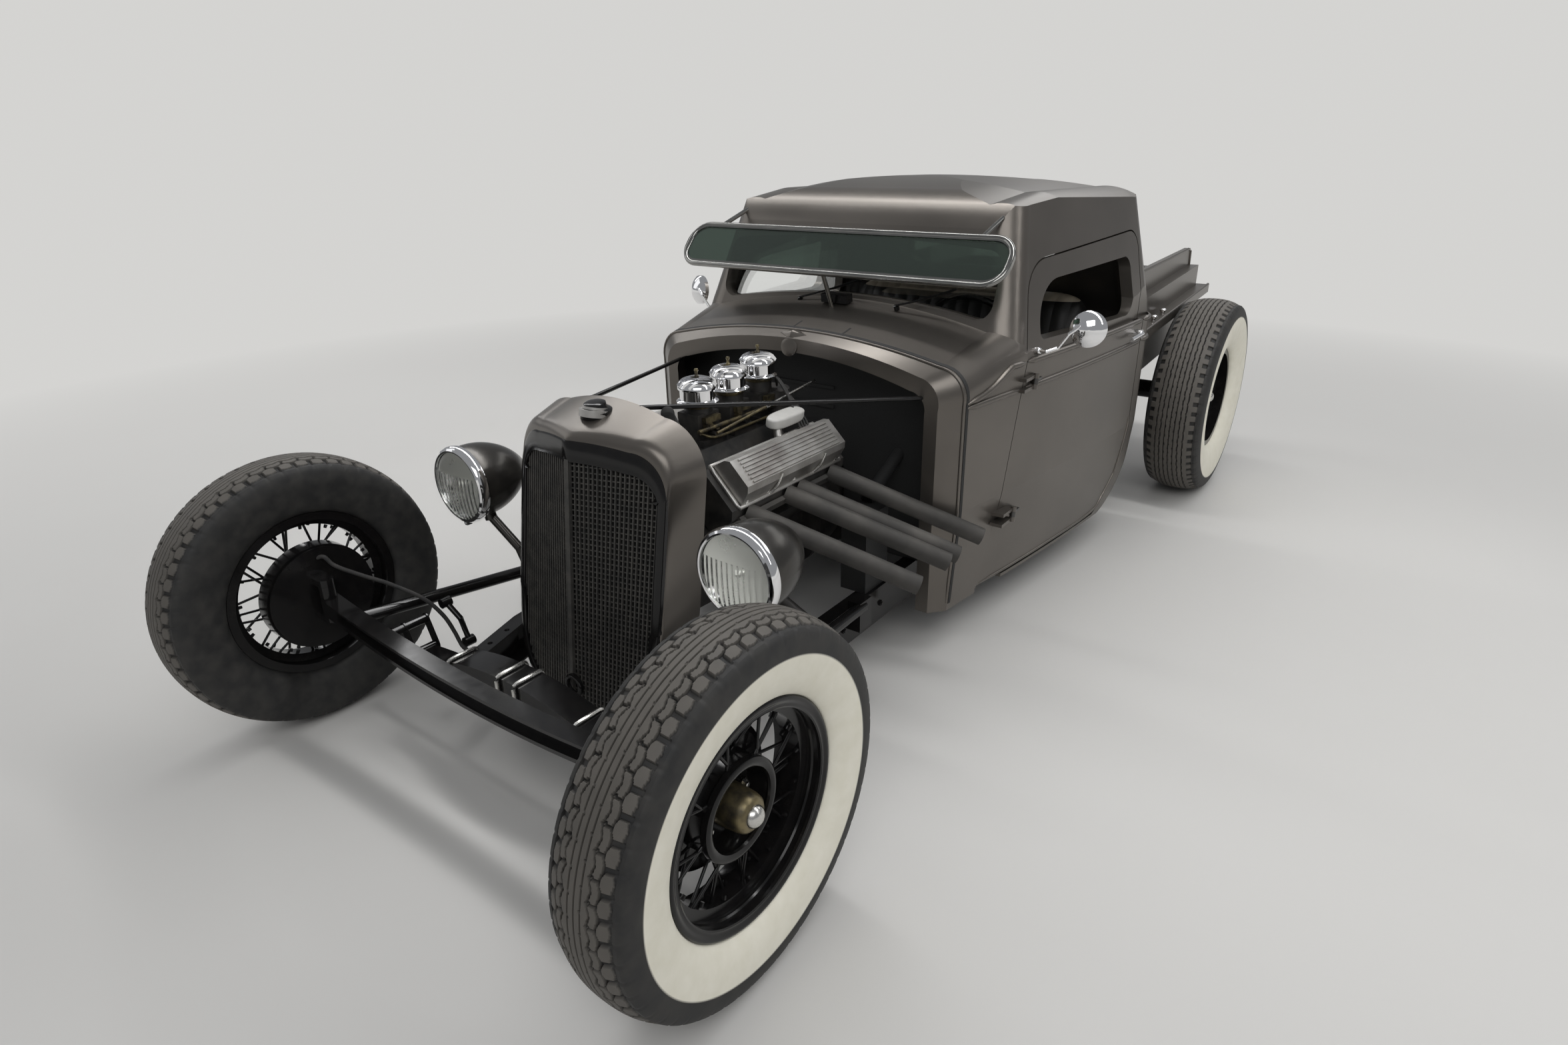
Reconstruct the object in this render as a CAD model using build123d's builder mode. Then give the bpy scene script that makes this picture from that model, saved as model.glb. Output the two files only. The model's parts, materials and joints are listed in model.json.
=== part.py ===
from build123d import *
import os
from math import atan2, cos, degrees, radians, sin, sqrt, tan

# Street rod pickup: chopped steel cab channelled over a flat frame, open V8 engine, short bed
# Lengths in millimetres. X to the car's left, Y to the rear, Z up from the ground
# Every place along the car is counted from the front axle and moved by station()

wheelbase = 3130
bed_end = 3640
front_track = 1476
rear_track = 1520

front_tyre_diameter = 724
front_tyre_width = 165
front_rim_width = 102
front_rim_diameter = 406
rear_tyre_diameter = 812
rear_tyre_width = 220
rear_rim_width = 140
rear_rim_diameter = 381
bead_gap = 0.3
rim_thickness = 4
flange_height = 18
rim_well = 20
spoke_pairs = 16
spoke_radius = 3.2
wheel_shell_radius = 92
mount_face = 35

drum_radius = 140
drum_width = 49
hub_radius = 34
spindle_radius = 17
spindle_reach = 18
running_clearance = 0.05
plate_radius = 136
plate_thickness = 5

kingpin_x = 618
bearing_gap = 0.5
kingpin_radius = 11
boss_radius = 20
boss_height = 84
ear_height = 18
axle_drop = 66
axle_depth = 46
axle_height = 52
axle_web = 16
steering_arm_length = 130
tie_rod_radius = 11
tie_rod_z = 168
tie_pin_radius = 7
open_pivot_clearance = 0.6
tie_end_radius = 16
tie_end_half = 13.5
arm_boss_half = 12
perch_x = 428
perch_z = 300
radius_rod_radius = 17
radius_rod_end = (424, 950, 240)

spring_y = 112
spring_width = 45
leaf_thickness = 8
leaf_halves = (400, 320, 240, 160)
crossmember_half = 262
crossmember_depth = 76
crossmember_height = 52
crossmember_top = 300
crossmember_rise = 38
crossmember_wall = 6

rail_x = 393
rail_front_x = 285
rail_width = 45
rail_wall = 6
rail_bottom = 120
rail_height = 110
kick_start = 2520
kick_rise = 390
kick_run = 260
rear_axle_radius = 38

shell_half = 250
shell_foot = 145
shell_rear = 488
shell_front = 281
shell_lean = 10
shell_bottom = 118
shell_shoulder = 815
shell_crown = 16
shell_wall = 10
shell_band = 19
nose_low = (246, 118)
nose_high = (325, 815)

lamp_x = 480
lamp_y = 352
lamp_z = 601
lamp_radius = 98
bezel_radius = 106
lamp_length = 205

engine_front = 600
engine_length = 500
crank_z = 395
bank_angle = 45
deck_height = 225
head_height = 105
cover_front = 632
cover_length = 436
cover_width = 122
cover_height = 62
cover_offset = 30
pipe_radius = 25
pipe_wall = 3
pipe_start_x = 251
pipe_start_z = 582
pipe_starts = (664, 827, 883, 1030)
pipe_end_x = 640
pipe_end_z = 404
pipe_sweep = 200
cleaner_radius = 52
cleaner_height = 62
cleaners = ((780, 805), (911, 812), (1043, 822))

lip_y = 1195
lip_half = 500
lip_top = 903
cowl_bottom = 130
seam_y = 1241
seam_half = 560
cowl_end = 1545
wall = 42
firewall_y = 1310
belt_z = 840
cab_front = 1385
cab_rear = 2545
cab_front_half = 582
cab_middle_half = 652
cab_rear_half = 692
cab_corner = 110
pillar_half = 604
sill_tuck = 28
tuck_z = 450
screen_y = 1492
screen_z = 950
screen_lean = 20
pillar_lean = 0.21
back_lean = 0.12
roof_crown = 1327
roof_wall = 30
seam_gap = 5
door_rear = 2382
door_bottom = 150
hinge_x = 622
hinge_low = (1494, 379)
hinge_high = (1579, 775)
hinge_radius = 9
hinge_pin_radius = 4.5
hinge_height = 46

bed_front = 2575
bed_rise = 3.6
bed_front_z = 743
bed_rail_x = 640
bed_rail_width = 66
bed_side_x = 582
bed_depth = 215
bed_wall = 12
board_x = 548
board_height = 175
gate_thickness = 30
gate_pin_radius = 6

front_axle_y = (front_tyre_diameter / 2 - bed_end) / 2
front_hub_z = front_tyre_diameter / 2
rear_hub_z = rear_tyre_diameter / 2


def station(y):
    return front_axle_y + y


def place(x, y, z):
    return (x, station(y), z)


def across(y):
    """Plane across the car at a station: local x to the left side, local y up."""
    return Plane(origin=place(0, y, 0), x_dir=(1, 0, 0), z_dir=(0, -1, 0))


def along(x):
    """Plane along the car: local x counts from the front axle to the rear, local y up."""
    return Plane(origin=place(x, 0, 0), x_dir=(0, 1, 0), z_dir=(1, 0, 0))


def level(z):
    """Level plane: local x to the left side, local y from the front axle to the rear."""
    return Plane(origin=place(0, 0, z))


def wheel_plane(x, y, z):
    """Plane through a wheel's centre: local x along the axle, local y up."""
    return Plane(origin=place(x, y, z), x_dir=(1, 0, 0), z_dir=(0, -1, 0))


def axle_line(y, z):
    return Axis(place(0, y, z), (1, 0, 0))


def rod(start, end, radius, bore=0, mode=Mode.ADD):
    """Straight round bar or tube between two places."""
    first = Vector(*place(*start))
    run = Vector(*place(*end)) - first
    with BuildSketch(Plane(origin=first, z_dir=run)) as section:
        Circle(radius)
        if bore:
            Circle(bore, mode=Mode.SUBTRACT)
    extrude(section.sketch, amount=run.length, mode=mode)


def block(x, y, z, width, depth, height, mode=Mode.ADD):
    """Upright block given by its centre."""
    with Locations(place(x, y, z)):
        Box(width, depth, height, mode=mode)


def ring(centre, points, mode=Mode.ADD):
    """Body turned about the axle line through a centre; points are (along the axle, radius)."""
    x, y, z = centre
    with BuildSketch(wheel_plane(x, y, z)) as section:
        with BuildLine():
            Polyline(*points, close=True)
        make_face()
    revolve(section.sketch, axis=axle_line(y, z), mode=mode)


def panel(plane, points, amount, both=False, mode=Mode.ADD):
    """Straight-edged outline drawn on a plane and given a thickness."""
    with BuildSketch(plane) as section:
        with BuildLine():
            Polyline(*points, close=True)
        make_face()
    extrude(section.sketch, amount=amount, both=both, mode=mode)


def mirrored(piece):
    """The same piece for the other side of the car."""
    with BuildPart() as other:
        mirror(piece.part, about=Plane.YZ)
    return other


pieces = {}

# Wheels: tyre, wheel and hub for each corner
corners = (
    ("front_left", 1, 0),
    ("front_right", -1, 0),
    ("rear_left", 1, wheelbase),
    ("rear_right", -1, wheelbase),
)
# wire wheel rows: place along the axle at the hub and at the rim, lean round the hub, share of a step
spoke_rows = ((14, 8, 15, 0), (-24, -8, -15, 0.5))
spoke_rim_lean = 3


def tyre_section(plane, diameter, width, rim_diameter, rim_width):
    """Tyre section: flat bead seat, two sidewall arcs and a crowned tread."""
    bead = rim_width / 2 - bead_gap
    seat = rim_diameter / 2 + bead_gap
    flange = rim_diameter / 2 + flange_height
    tread_half = 0.36 * width
    shoulder = diameter / 2 - 0.08 * width
    middle = (flange + shoulder) / 2
    with BuildSketch(plane) as section:
        with BuildLine():
            Line((-bead, seat), (bead, seat))
            Line((bead, seat), (bead, flange))
            ThreePointArc((bead, flange), (width / 2, middle), (tread_half, shoulder))
            ThreePointArc((tread_half, shoulder), (0, diameter / 2), (-tread_half, shoulder))
            ThreePointArc((-tread_half, shoulder), (-width / 2, middle), (-bead, flange))
            Line((-bead, flange), (-bead, seat))
        make_face()
    return section.sketch


def rim_points(rim_diameter, rim_width):
    """Drop-centre rim section, from the left flange round to the inner face."""
    half = rim_width / 2
    outer = half + rim_thickness
    seat = rim_diameter / 2
    flange = seat + flange_height - 1
    well = seat - rim_well
    shelf = 0.45 * half
    base = 0.35 * half
    top = [(-outer, flange), (-half, flange), (-half, seat), (-shelf, seat), (-base, well)]
    low = [(-base - 3, well - rim_thickness), (-shelf - 3, seat - rim_thickness),
           (-outer, seat - rim_thickness)]
    return top + [(-a, r) for a, r in reversed(top)] + [(-a, r) for a, r in reversed(low)] + low


for corner, hand, axle_y in corners:
    front = axle_y == 0
    track, diameter, width, rim_diameter, rim_width = (
        (front_track, front_tyre_diameter, front_tyre_width, front_rim_diameter, front_rim_width)
        if front
        else (rear_track, rear_tyre_diameter, rear_tyre_width, rear_rim_diameter, rear_rim_width)
    )
    centre = (hand * track / 2, axle_y, diameter / 2)
    with BuildPart() as tyre:
        section = tyre_section(wheel_plane(*centre), diameter, width, rim_diameter, rim_width)
        revolve(section, axis=axle_line(centre[1], centre[2]))
    pieces["tyre_" + corner] = tyre

    shell = wheel_shell_radius
    well = rim_diameter / 2 - rim_well
    bolt_face = 6 - mount_face
    with BuildPart() as wheel:
        ring(centre, rim_points(rim_diameter, rim_width))
        if front:
            cup = [(25, shell - 8), (25, shell), (-mount_face, shell + 4), (-mount_face, hub_radius + 1),
                   (bolt_face, hub_radius + 1), (bolt_face, shell - 12)]
            ring(centre, [(hand * a, r) for a, r in cup])
            near = shell - 1
            far = well - 2
            for index in range(spoke_pairs):
                way = 1 if index % 2 else -1
                for hub_a, rim_a, lean, shift in spoke_rows:
                    turn = (index + shift) * 360 / spoke_pairs
                    low = radians(turn + way * lean)
                    high = radians(turn + way * spoke_rim_lean)
                    start = (centre[0] + hand * hub_a, axle_y + near * sin(low), centre[2] + near * cos(low))
                    end = (centre[0] + hand * rim_a, axle_y + far * sin(high), centre[2] + far * cos(high))
                    rod(start, end, spoke_radius)
        else:
            dish = [(-mount_face, hub_radius + 1), (bolt_face, hub_radius + 1), (bolt_face, 78), (8, 104),
                    (8, 140), (-10, well - 2), (-16, well - 2), (2, 138), (2, 108), (-mount_face, 82)]
            ring(centre, [(hand * a, r) for a, r in dish])
    pieces["wheel_" + corner] = wheel

    with BuildPart() as hub:
        back = -mount_face - drum_width
        drum_face = -mount_face - 10
        drum = [(-mount_face, 0), (-mount_face, drum_radius - 12), (-mount_face - 6, drum_radius),
                (back, drum_radius), (back, drum_radius - 10), (drum_face, drum_radius - 10), (drum_face, 0)]
        ring(centre, [(hand * a, r) for a, r in drum])
        barrel = [(back + 12, 0), (back + 12, hub_radius), (30, hub_radius), (38, hub_radius - 8), (38, 20),
                  (54, 18), (62, 10), (64, 0)]
        ring(centre, [(hand * a, r) for a, r in barrel])
        bore = spindle_radius + running_clearance
        bored = ((back, 0), (back, bore), (20, bore), (20, 0))
        ring(centre, [(hand * a, r) for a, r in bored], mode=Mode.SUBTRACT)
    pieces["hub_" + corner] = hub

# Front axle: dropped I-beam with kingpin bosses, spring perches and radius rods back to the frame
with BuildPart() as front_axle:
    top_z = front_hub_z + 8
    low_z = front_hub_z - 37
    mid_z = front_hub_z - axle_drop
    with BuildSketch(across(axle_depth / 2)):
        with BuildLine():
            ThreePointArc((-kingpin_x, top_z), (0, mid_z + axle_height / 2), (kingpin_x, top_z))
            Line((kingpin_x, top_z), (kingpin_x, low_z))
            ThreePointArc((kingpin_x, low_z), (0, mid_z - axle_height / 2), (-kingpin_x, low_z))
            Line((-kingpin_x, low_z), (-kingpin_x, top_z))
        make_face()
    extrude(amount=axle_depth)
    web_x = kingpin_x - 70
    for face_y in (axle_depth / 2, -axle_depth / 2 + axle_web):
        with BuildSketch(across(face_y)):
            with BuildLine():
                ThreePointArc((-web_x, top_z - 16), (0, mid_z + axle_height / 2 - 9), (web_x, top_z - 16))
                Line((web_x, top_z - 16), (web_x, low_z + 2))
                ThreePointArc((web_x, low_z + 2), (0, mid_z - axle_height / 2 + 9), (-web_x, low_z + 2))
                Line((-web_x, low_z + 2), (-web_x, top_z - 16))
            make_face()
        extrude(amount=axle_web, mode=Mode.SUBTRACT)
    for hand in (1, -1):
        with Locations(place(hand * kingpin_x, 0, front_hub_z)):
            Cylinder(boss_radius, boss_height)
            Cylinder(kingpin_radius + running_clearance, boss_height, mode=Mode.SUBTRACT)
        rod((hand * perch_x, 0, perch_z), (hand * perch_x, spring_y + spring_width / 2 + 14, perch_z), 11)
pieces["front_axle"] = front_axle

# Radius rods from the axle back to brackets on the rails
end_x, end_y, end_z = radius_rod_end
with BuildPart() as radius_rods:
    for hand in (1, -1):
        rod((hand * 522, 0, 331), (hand * end_x, end_y, end_z), radius_rod_radius)
        block(hand * (rail_x + end_x) / 2, end_y, rail_bottom + rail_height - 14, end_x - rail_x + 20, 60, 90)
        block(hand * (rail_x - 20), end_y, rail_bottom + rail_height / 2, 40, 70, 4 * rail_height,
              mode=Mode.SUBTRACT)
    block(0, 0, front_hub_z, 2 * kingpin_x, axle_depth + 0.6, 200, mode=Mode.SUBTRACT)
pieces["radius_rods"] = radius_rods

# Knuckle: forked ears, kingpin, brake backing plate, spindle and steering arm
arm_x = kingpin_x
boss_z = tie_rod_z + tie_end_half + bearing_gap + arm_boss_half
drum_back = mount_face + drum_width
plate_gap = 10
with BuildPart() as knuckle_left:
    plate_x = front_track / 2 - drum_back - plate_gap
    for side in (1, -1):
        ear_z = front_hub_z + side * (boss_height / 2 + bearing_gap + ear_height / 2)
        with Locations(place(kingpin_x, 0, ear_z)):
            Cylinder(boss_radius, ear_height)
        block((kingpin_x + plate_x) / 2, 0, ear_z, plate_x - kingpin_x, 2 * boss_radius, ear_height)
    with Locations(place(kingpin_x, 0, front_hub_z)):
        Cylinder(kingpin_radius, boss_height + 2 * ear_height + 4)
    rod((plate_x, 0, front_hub_z), (plate_x + plate_thickness, 0, front_hub_z), plate_radius)
    rod((plate_x, 0, front_hub_z), (front_track / 2 + spindle_reach, 0, front_hub_z), spindle_radius)
    arm_z = front_hub_z - boss_height / 2 - ear_height / 2
    rod((kingpin_x, 8, arm_z - 6), (arm_x, steering_arm_length, boss_z), 11)
    with Locations(place(arm_x, steering_arm_length, boss_z)):
        Cylinder(tie_end_radius - 1, 2 * arm_boss_half)
        Cylinder(tie_pin_radius + running_clearance, 60, mode=Mode.SUBTRACT)
pieces["knuckle_left"] = knuckle_left
knuckle_right = mirrored(knuckle_left)
with BuildPart() as knuckle_right_open:
    add(knuckle_right.part)
    with Locations(place(-arm_x, steering_arm_length, boss_z)):
        Cylinder(tie_pin_radius + open_pivot_clearance, 60, mode=Mode.SUBTRACT)
pieces["knuckle_right"] = knuckle_right_open

with BuildPart() as tie_rod:
    rod((-arm_x, steering_arm_length, tie_rod_z), (arm_x, steering_arm_length, tie_rod_z), tie_rod_radius)
    pin_top = boss_z + arm_boss_half + 2
    for hand in (1, -1):
        end = (hand * arm_x, steering_arm_length, tie_rod_z)
        with Locations(place(*end)):
            Cylinder(tie_end_radius, 2 * tie_end_half)
        rod(end, (hand * arm_x, steering_arm_length, pin_top), tie_pin_radius)
pieces["tie_rod"] = tie_rod

# Transverse leaf spring with its shackles
spring_top = crossmember_top - crossmember_height + 14
leaf_camber = 26
shackle_pin_radius = 11


def leaf_z(x):
    """Height of the main leaf's top at a distance from the middle of the car."""
    return spring_top - leaf_camber * (x / leaf_halves[0]) ** 2


with BuildPart() as front_spring:
    for number, half in enumerate(leaf_halves):
        top = spring_top - number * leaf_thickness
        tip = leaf_z(half) - number * leaf_thickness
        under = top - leaf_thickness
        tip_under = tip - leaf_thickness
        with BuildSketch(across(spring_y + spring_width / 2)):
            with BuildLine():
                ThreePointArc((-half, tip), (0, top), (half, tip))
                Line((half, tip), (half, tip_under))
                ThreePointArc((half, tip_under), (0, under), (-half, tip_under))
                Line((-half, tip_under), (-half, tip))
            make_face()
        extrude(amount=spring_width)
    eye_x = leaf_halves[0]
    eye_z = leaf_z(eye_x) - leaf_thickness / 2
    link_reach = sqrt((perch_x - eye_x) ** 2 + (perch_z - eye_z) ** 2)
    link_turn = degrees(atan2(perch_z - eye_z, perch_x - eye_x))
    for hand in (1, -1):
        rod((hand * eye_x, spring_y - 30, eye_z), (hand * eye_x, spring_y + 30, eye_z), shackle_pin_radius)
        for link_y in (spring_y - 34, spring_y + 30):
            with BuildSketch(across(link_y + 6)) as link:
                with Locations((hand * (perch_x + eye_x) / 2, (perch_z + eye_z) / 2)):
                    SlotCenterToCenter(link_reach, 28, rotation=link_turn * hand)
                with Locations((hand * perch_x, perch_z)):
                    Circle(shackle_pin_radius + running_clearance, mode=Mode.SUBTRACT)
            extrude(link.sketch, amount=4)
pieces["front_spring"] = front_spring

# Frame rails: channels that widen behind the front crossmember, kicked up over the rear axle
rail_start = spring_y + crossmember_depth / 2
rail_inner_x = rail_x - rail_width
kick_top = rail_bottom + rail_height
kick_end = kick_start + kick_run
rail_end = bed_end - 60
rail_top = rail_bottom + kick_rise + 80
bend_x, bend_y = 355, 360
front_rail = ((rail_front_x, rail_start), (bend_x, bend_y), (rail_x, 620), (rail_x, kick_start),
              (rail_inner_x, kick_start), (rail_inner_x, 632), (bend_x - rail_width, bend_y + 12),
              (rail_front_x - rail_width, rail_start))
rail_hollow = ((rail_front_x - rail_wall, rail_start - 1), (bend_x - rail_wall, bend_y + 1),
               (rail_x - rail_wall, 621), (rail_x - rail_wall, kick_start - 60), (200, kick_start - 60),
               (200, rail_start - 1))
kick_bottom = rail_bottom + kick_rise
kick = ((kick_start - 40, rail_bottom), (kick_start + 40, rail_bottom), (kick_end + 40, kick_bottom),
        (rail_end, kick_bottom), (rail_end, rail_top), (kick_end - 20, rail_top),
        (kick_start - 40, kick_top))
with BuildPart() as frame_rails:
    for hand in (1, -1):
        panel(level(rail_bottom), [(hand * x, y) for x, y in front_rail], rail_height)
        hollow = [(hand * x, y) for x, y in rail_hollow]
        panel(level(rail_bottom + rail_wall), hollow, rail_height - 2 * rail_wall, mode=Mode.SUBTRACT)
        panel(along(hand * rail_x), kick, -hand * rail_width)
        for hole_y in (230, 300, 400):
            hole_x = rail_front_x - rail_width / 2 + (hole_y - rail_start) * 0.3
            with Locations(place(hand * hole_x, hole_y, kick_top)):
                Cylinder(7, 3 * rail_wall, mode=Mode.SUBTRACT)
pieces["frame_rails"] = frame_rails

# Crossmembers: arched box over the front spring, radiator cradle and plain tubes between the rails
cradle_y = 508
cradle_z = 178
high_z = rail_bottom + kick_rise + 40
tube_radius = 26
with BuildPart() as crossmembers:
    for inset in (0, crossmember_wall):
        half = crossmember_half
        low = crossmember_top - crossmember_height - crossmember_rise - 2 * inset
        depth = crossmember_depth - 2 * inset
        edge = crossmember_top - crossmember_rise - inset
        with BuildSketch(across(spring_y + depth / 2)) as arch:
            with BuildLine():
                ThreePointArc((-half, edge), (0, crossmember_top - inset), (half, edge))
                Line((half, edge), (half, low))
                ThreePointArc((half, low), (0, low + crossmember_rise), (-half, low))
                Line((-half, low), (-half, edge))
            make_face()
        extrude(arch.sketch, amount=depth, mode=Mode.SUBTRACT if inset else Mode.ADD)
    pad_height = crossmember_top - spring_top - 6
    block(0, spring_y, spring_top + pad_height / 2, 64, crossmember_depth - 8, pad_height)
    # place along the car, height, radius, half length
    for tube_y, tube_z, radius, reach in (
        (cradle_y, cradle_z, 14, 368.1),
        (1500, 160, tube_radius, rail_x - rail_wall),
        (2110, 160, tube_radius, rail_x - rail_wall),
        (2980, high_z, tube_radius, rail_inner_x),
        (rail_end - 40, high_z, tube_radius, rail_inner_x),
    ):
        rod((-reach, tube_y, tube_z), (reach, tube_y, tube_z), radius)
    for hand in (1, -1):
        block(hand * 110, (cradle_y + 382) / 2, cradle_z + 12, 44, cradle_y - 382, 18)
pieces["crossmembers"] = crossmembers

# Rear axle: tubes, round centre case, backing plates and short air springs under the rails
bar_y = kick_start + 20
bar_z = 190
bracket_x = 470
rear_plate_x = rear_track / 2 - drum_back - plate_gap
air_spring_x = rail_x - rail_width / 2
case_radius = 150
with BuildPart() as rear_axle:
    rod((-rear_plate_x, wheelbase, rear_hub_z), (rear_plate_x, wheelbase, rear_hub_z), rear_axle_radius)
    with Locations(place(0, wheelbase, rear_hub_z)):
        Sphere(case_radius)
    rod((0, wheelbase - 40, rear_hub_z), (0, wheelbase - 260, rear_hub_z), 62)
    spring_foot = rear_hub_z + 50
    spring_reach = rail_bottom + kick_rise - spring_foot
    for hand in (1, -1):
        plate = (hand * rear_plate_x, wheelbase, rear_hub_z)
        rod(plate, (hand * (rear_plate_x + plate_thickness), wheelbase, rear_hub_z), plate_radius)
        rod(plate, (hand * (rear_track / 2 + spindle_reach), wheelbase, rear_hub_z), spindle_radius)
        block(hand * bracket_x, wheelbase, rear_hub_z, 30, 110, 130)
        block(hand * air_spring_x, wheelbase, rear_hub_z + 40, 90, 80, 24)
        with Locations(place(hand * air_spring_x, wheelbase, spring_foot + spring_reach / 2)):
            Cylinder(46, spring_reach)
pieces["rear_axle"] = rear_axle

# Ladder bars from the rear axle forward to the rails
with BuildPart() as ladder_bars:
    for hand in (1, -1):
        for rise_z in (44, -44):
            rod((hand * bracket_x, wheelbase, rear_hub_z + rise_z), (hand * 425, bar_y, bar_z), 16)
        block(hand * (rail_x + 32), bar_y, bar_z, 64, 64, 64)
        block(hand * 458, 2850, rear_hub_z - 90, 8, 20, 50)
    add(rear_axle.part, mode=Mode.SUBTRACT)
pieces["ladder_bars"] = ladder_bars

# Grille shell: leaning housing with a V front, flared to the rear and drawn in at its foot
lean = Plane(origin=place(0, shell_front, shell_bottom), x_dir=(1, 0, 0),
             z_dir=(0, -cos(radians(shell_lean)), sin(radians(shell_lean))))
shoulder_up = (shell_shoulder - shell_bottom) / cos(radians(shell_lean))


def shell_outline(plane, halves, top, low, crown, corner):
    """Rounded shoulders and sides drawn in downwards; halves are widths at the top, waist, knee and foot."""
    half, waist, knee, foot = halves
    bend_x, bend_top = half - 0.287 * corner, top - 0.287 * corner
    with BuildLine() as outline:
        ThreePointArc((-half, top - corner), (-bend_x, bend_top), (-half + corner, top))
        ThreePointArc((-half + corner, top), (0, top + crown), (half - corner, top))
        ThreePointArc((half - corner, top), (bend_x, bend_top), (half, top - corner))
        Line((half, top - corner), (waist, low + 270))
        ThreePointArc((waist, low + 270), (knee, low + 95), (foot, low))
        Line((foot, low), (-foot, low))
        ThreePointArc((-foot, low), (-knee, low + 95), (-waist, low + 270))
        Line((-waist, low + 270), (-half, top - corner))
    with BuildSketch(plane) as section:
        make_face(outline.edges())
    return section.sketch


def flare(inset, reach=0):
    """Body of the shell between a leaning front outline and an upright, wider rear one."""
    foot = shell_foot - inset
    front = [shell_half - 26 - inset, shell_half + 14 - inset, shell_half - 14 - inset, foot]
    rear = [shell_half + 31 - inset, shell_half - 13 - inset, shell_half - 45 - inset, foot]
    rear_top = shell_shoulder + 42 - inset
    with BuildPart() as body:
        first = shell_outline(lean.offset(100), front, shoulder_up - 28 - inset, inset, shell_crown, 76)
        last = shell_outline(across(shell_rear + reach), rear, rear_top, shell_bottom + inset, shell_crown + 8,
                             120)
        loft([first, last], ruled=True)
    return body.part


def v_front(back):
    """Body behind the V front: two faces that meet on the nose line."""
    ends = []
    nose_lean = (nose_high[0] - nose_low[0]) / (nose_high[1] - nose_low[1])
    for z in (60, 920):
        nose = nose_low[0] + (z - nose_low[1]) * nose_lean + back
        fold = shell_front + (z - shell_bottom) * tan(radians(shell_lean)) + back
        wing = nose + (fold - nose) * 400 / shell_half
        with BuildSketch(level(z)) as plan:
            with BuildLine():
                Polyline((0, nose), (400, wing), (400, 900), (-400, 900), (-400, wing), close=True)
            make_face()
        ends.append(plan.sketch)
    with BuildPart() as wedge:
        loft(ends, ruled=True)
    return wedge.part


neck_foot = (0, 450, shell_shoulder - 50)
neck_top = (0, 424, 866)
neck_radius = 24
mesh_half = shell_half - shell_band
mesh_halves = [mesh_half, mesh_half, mesh_half - 22, shell_foot - shell_band]
mesh_top = shoulder_up - 56
shell_body = flare(0)
shell_room = flare(shell_wall, 2)
shell_front_body = v_front(0)
shell_front_room = v_front(shell_wall)
with BuildPart() as shell_hollow:
    add(shell_room)
    add(shell_front_room, mode=Mode.INTERSECT)

with BuildPart() as grille_shell:
    add(shell_body)
    add(shell_front_body, mode=Mode.INTERSECT)
    add(shell_hollow.part, mode=Mode.SUBTRACT)
    opening = shell_outline(lean.offset(120), mesh_halves, mesh_top, 20, 14, 80)
    extrude(opening, amount=-200, mode=Mode.SUBTRACT)
    rod(neck_foot, neck_top, neck_radius + 0.3, mode=Mode.SUBTRACT)
pieces["grille_shell"] = grille_shell

# Grille: V frame with upright bars and cross ribs, cut to the shell's opening
grille_behind = v_front(3)
grille_beyond = v_front(11)
grille_bars = 16
with BuildPart() as grille:
    with BuildSketch(level(shell_bottom)) as comb:
        for number in range(-grille_bars, grille_bars + 1):
            with Locations((number * mesh_half / (grille_bars + 0.5), 320)):
                Rectangle(4 if number else 10, 300)
    extrude(comb.sketch, amount=shell_shoulder - shell_bottom)
    for rib_z in (150, 300, 440, 580, 720):
        block(0, 320, rib_z, 2 * shell_half, 300, 6)
    add(grille_behind, mode=Mode.INTERSECT)
    add(grille_beyond, mode=Mode.SUBTRACT)
    clip_halves = [width - 0.3 for width in mesh_halves]
    clip = shell_outline(lean.offset(120), clip_halves, mesh_top - 0.3, 20.3, 14, 80)
    extrude(clip, amount=-200, mode=Mode.INTERSECT)
pieces["grille"] = grille

# Radiator: core behind the grille with side brackets, filler neck and hose necks
with BuildPart() as radiator:
    core_halves = [shell_half - 24, shell_half - 24, shell_half - 46, shell_foot - 24]
    core = shell_outline(lean.offset(-40), core_halves, shoulder_up - 14, 90, 10, 90)
    extrude(core, amount=-45)
    for hand in (1, -1):
        for low, end_x in ((345, shell_half - 4), (575, shell_half + 10)):
            bracket = ((200, low), (end_x, low), (end_x, low + 30), (200, low + 30))
            panel(lean.offset(-50), [(hand * x, z) for x, z in bracket], -16)
    rod(neck_foot, neck_top, neck_radius)
    rod((0, 420, 852), (0, 423, 868), 38)
    rod((0, 423, 868), (0, 424.4, 874), 30)
    rod((130, 455, 736), (130, 520, 746), 22)
    rod((-130, 400, 356), (-130, 500, 356), 22)
    add(grille_shell.part, mode=Mode.SUBTRACT)
pieces["radiator"] = radiator

# Headlights: bullet buckets on curved brackets, with bezel and lens
def lamp_plane(hand):
    """Level plane through a lamp's centre: local x to the left side, local y to the rear."""
    return Plane(origin=place(hand * lamp_x, lamp_y, lamp_z), x_dir=(1, 0, 0), z_dir=(0, 0, 1))


def lamp_axis(hand):
    return Axis(place(hand * lamp_x, lamp_y, lamp_z), (0, 1, 0))


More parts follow.
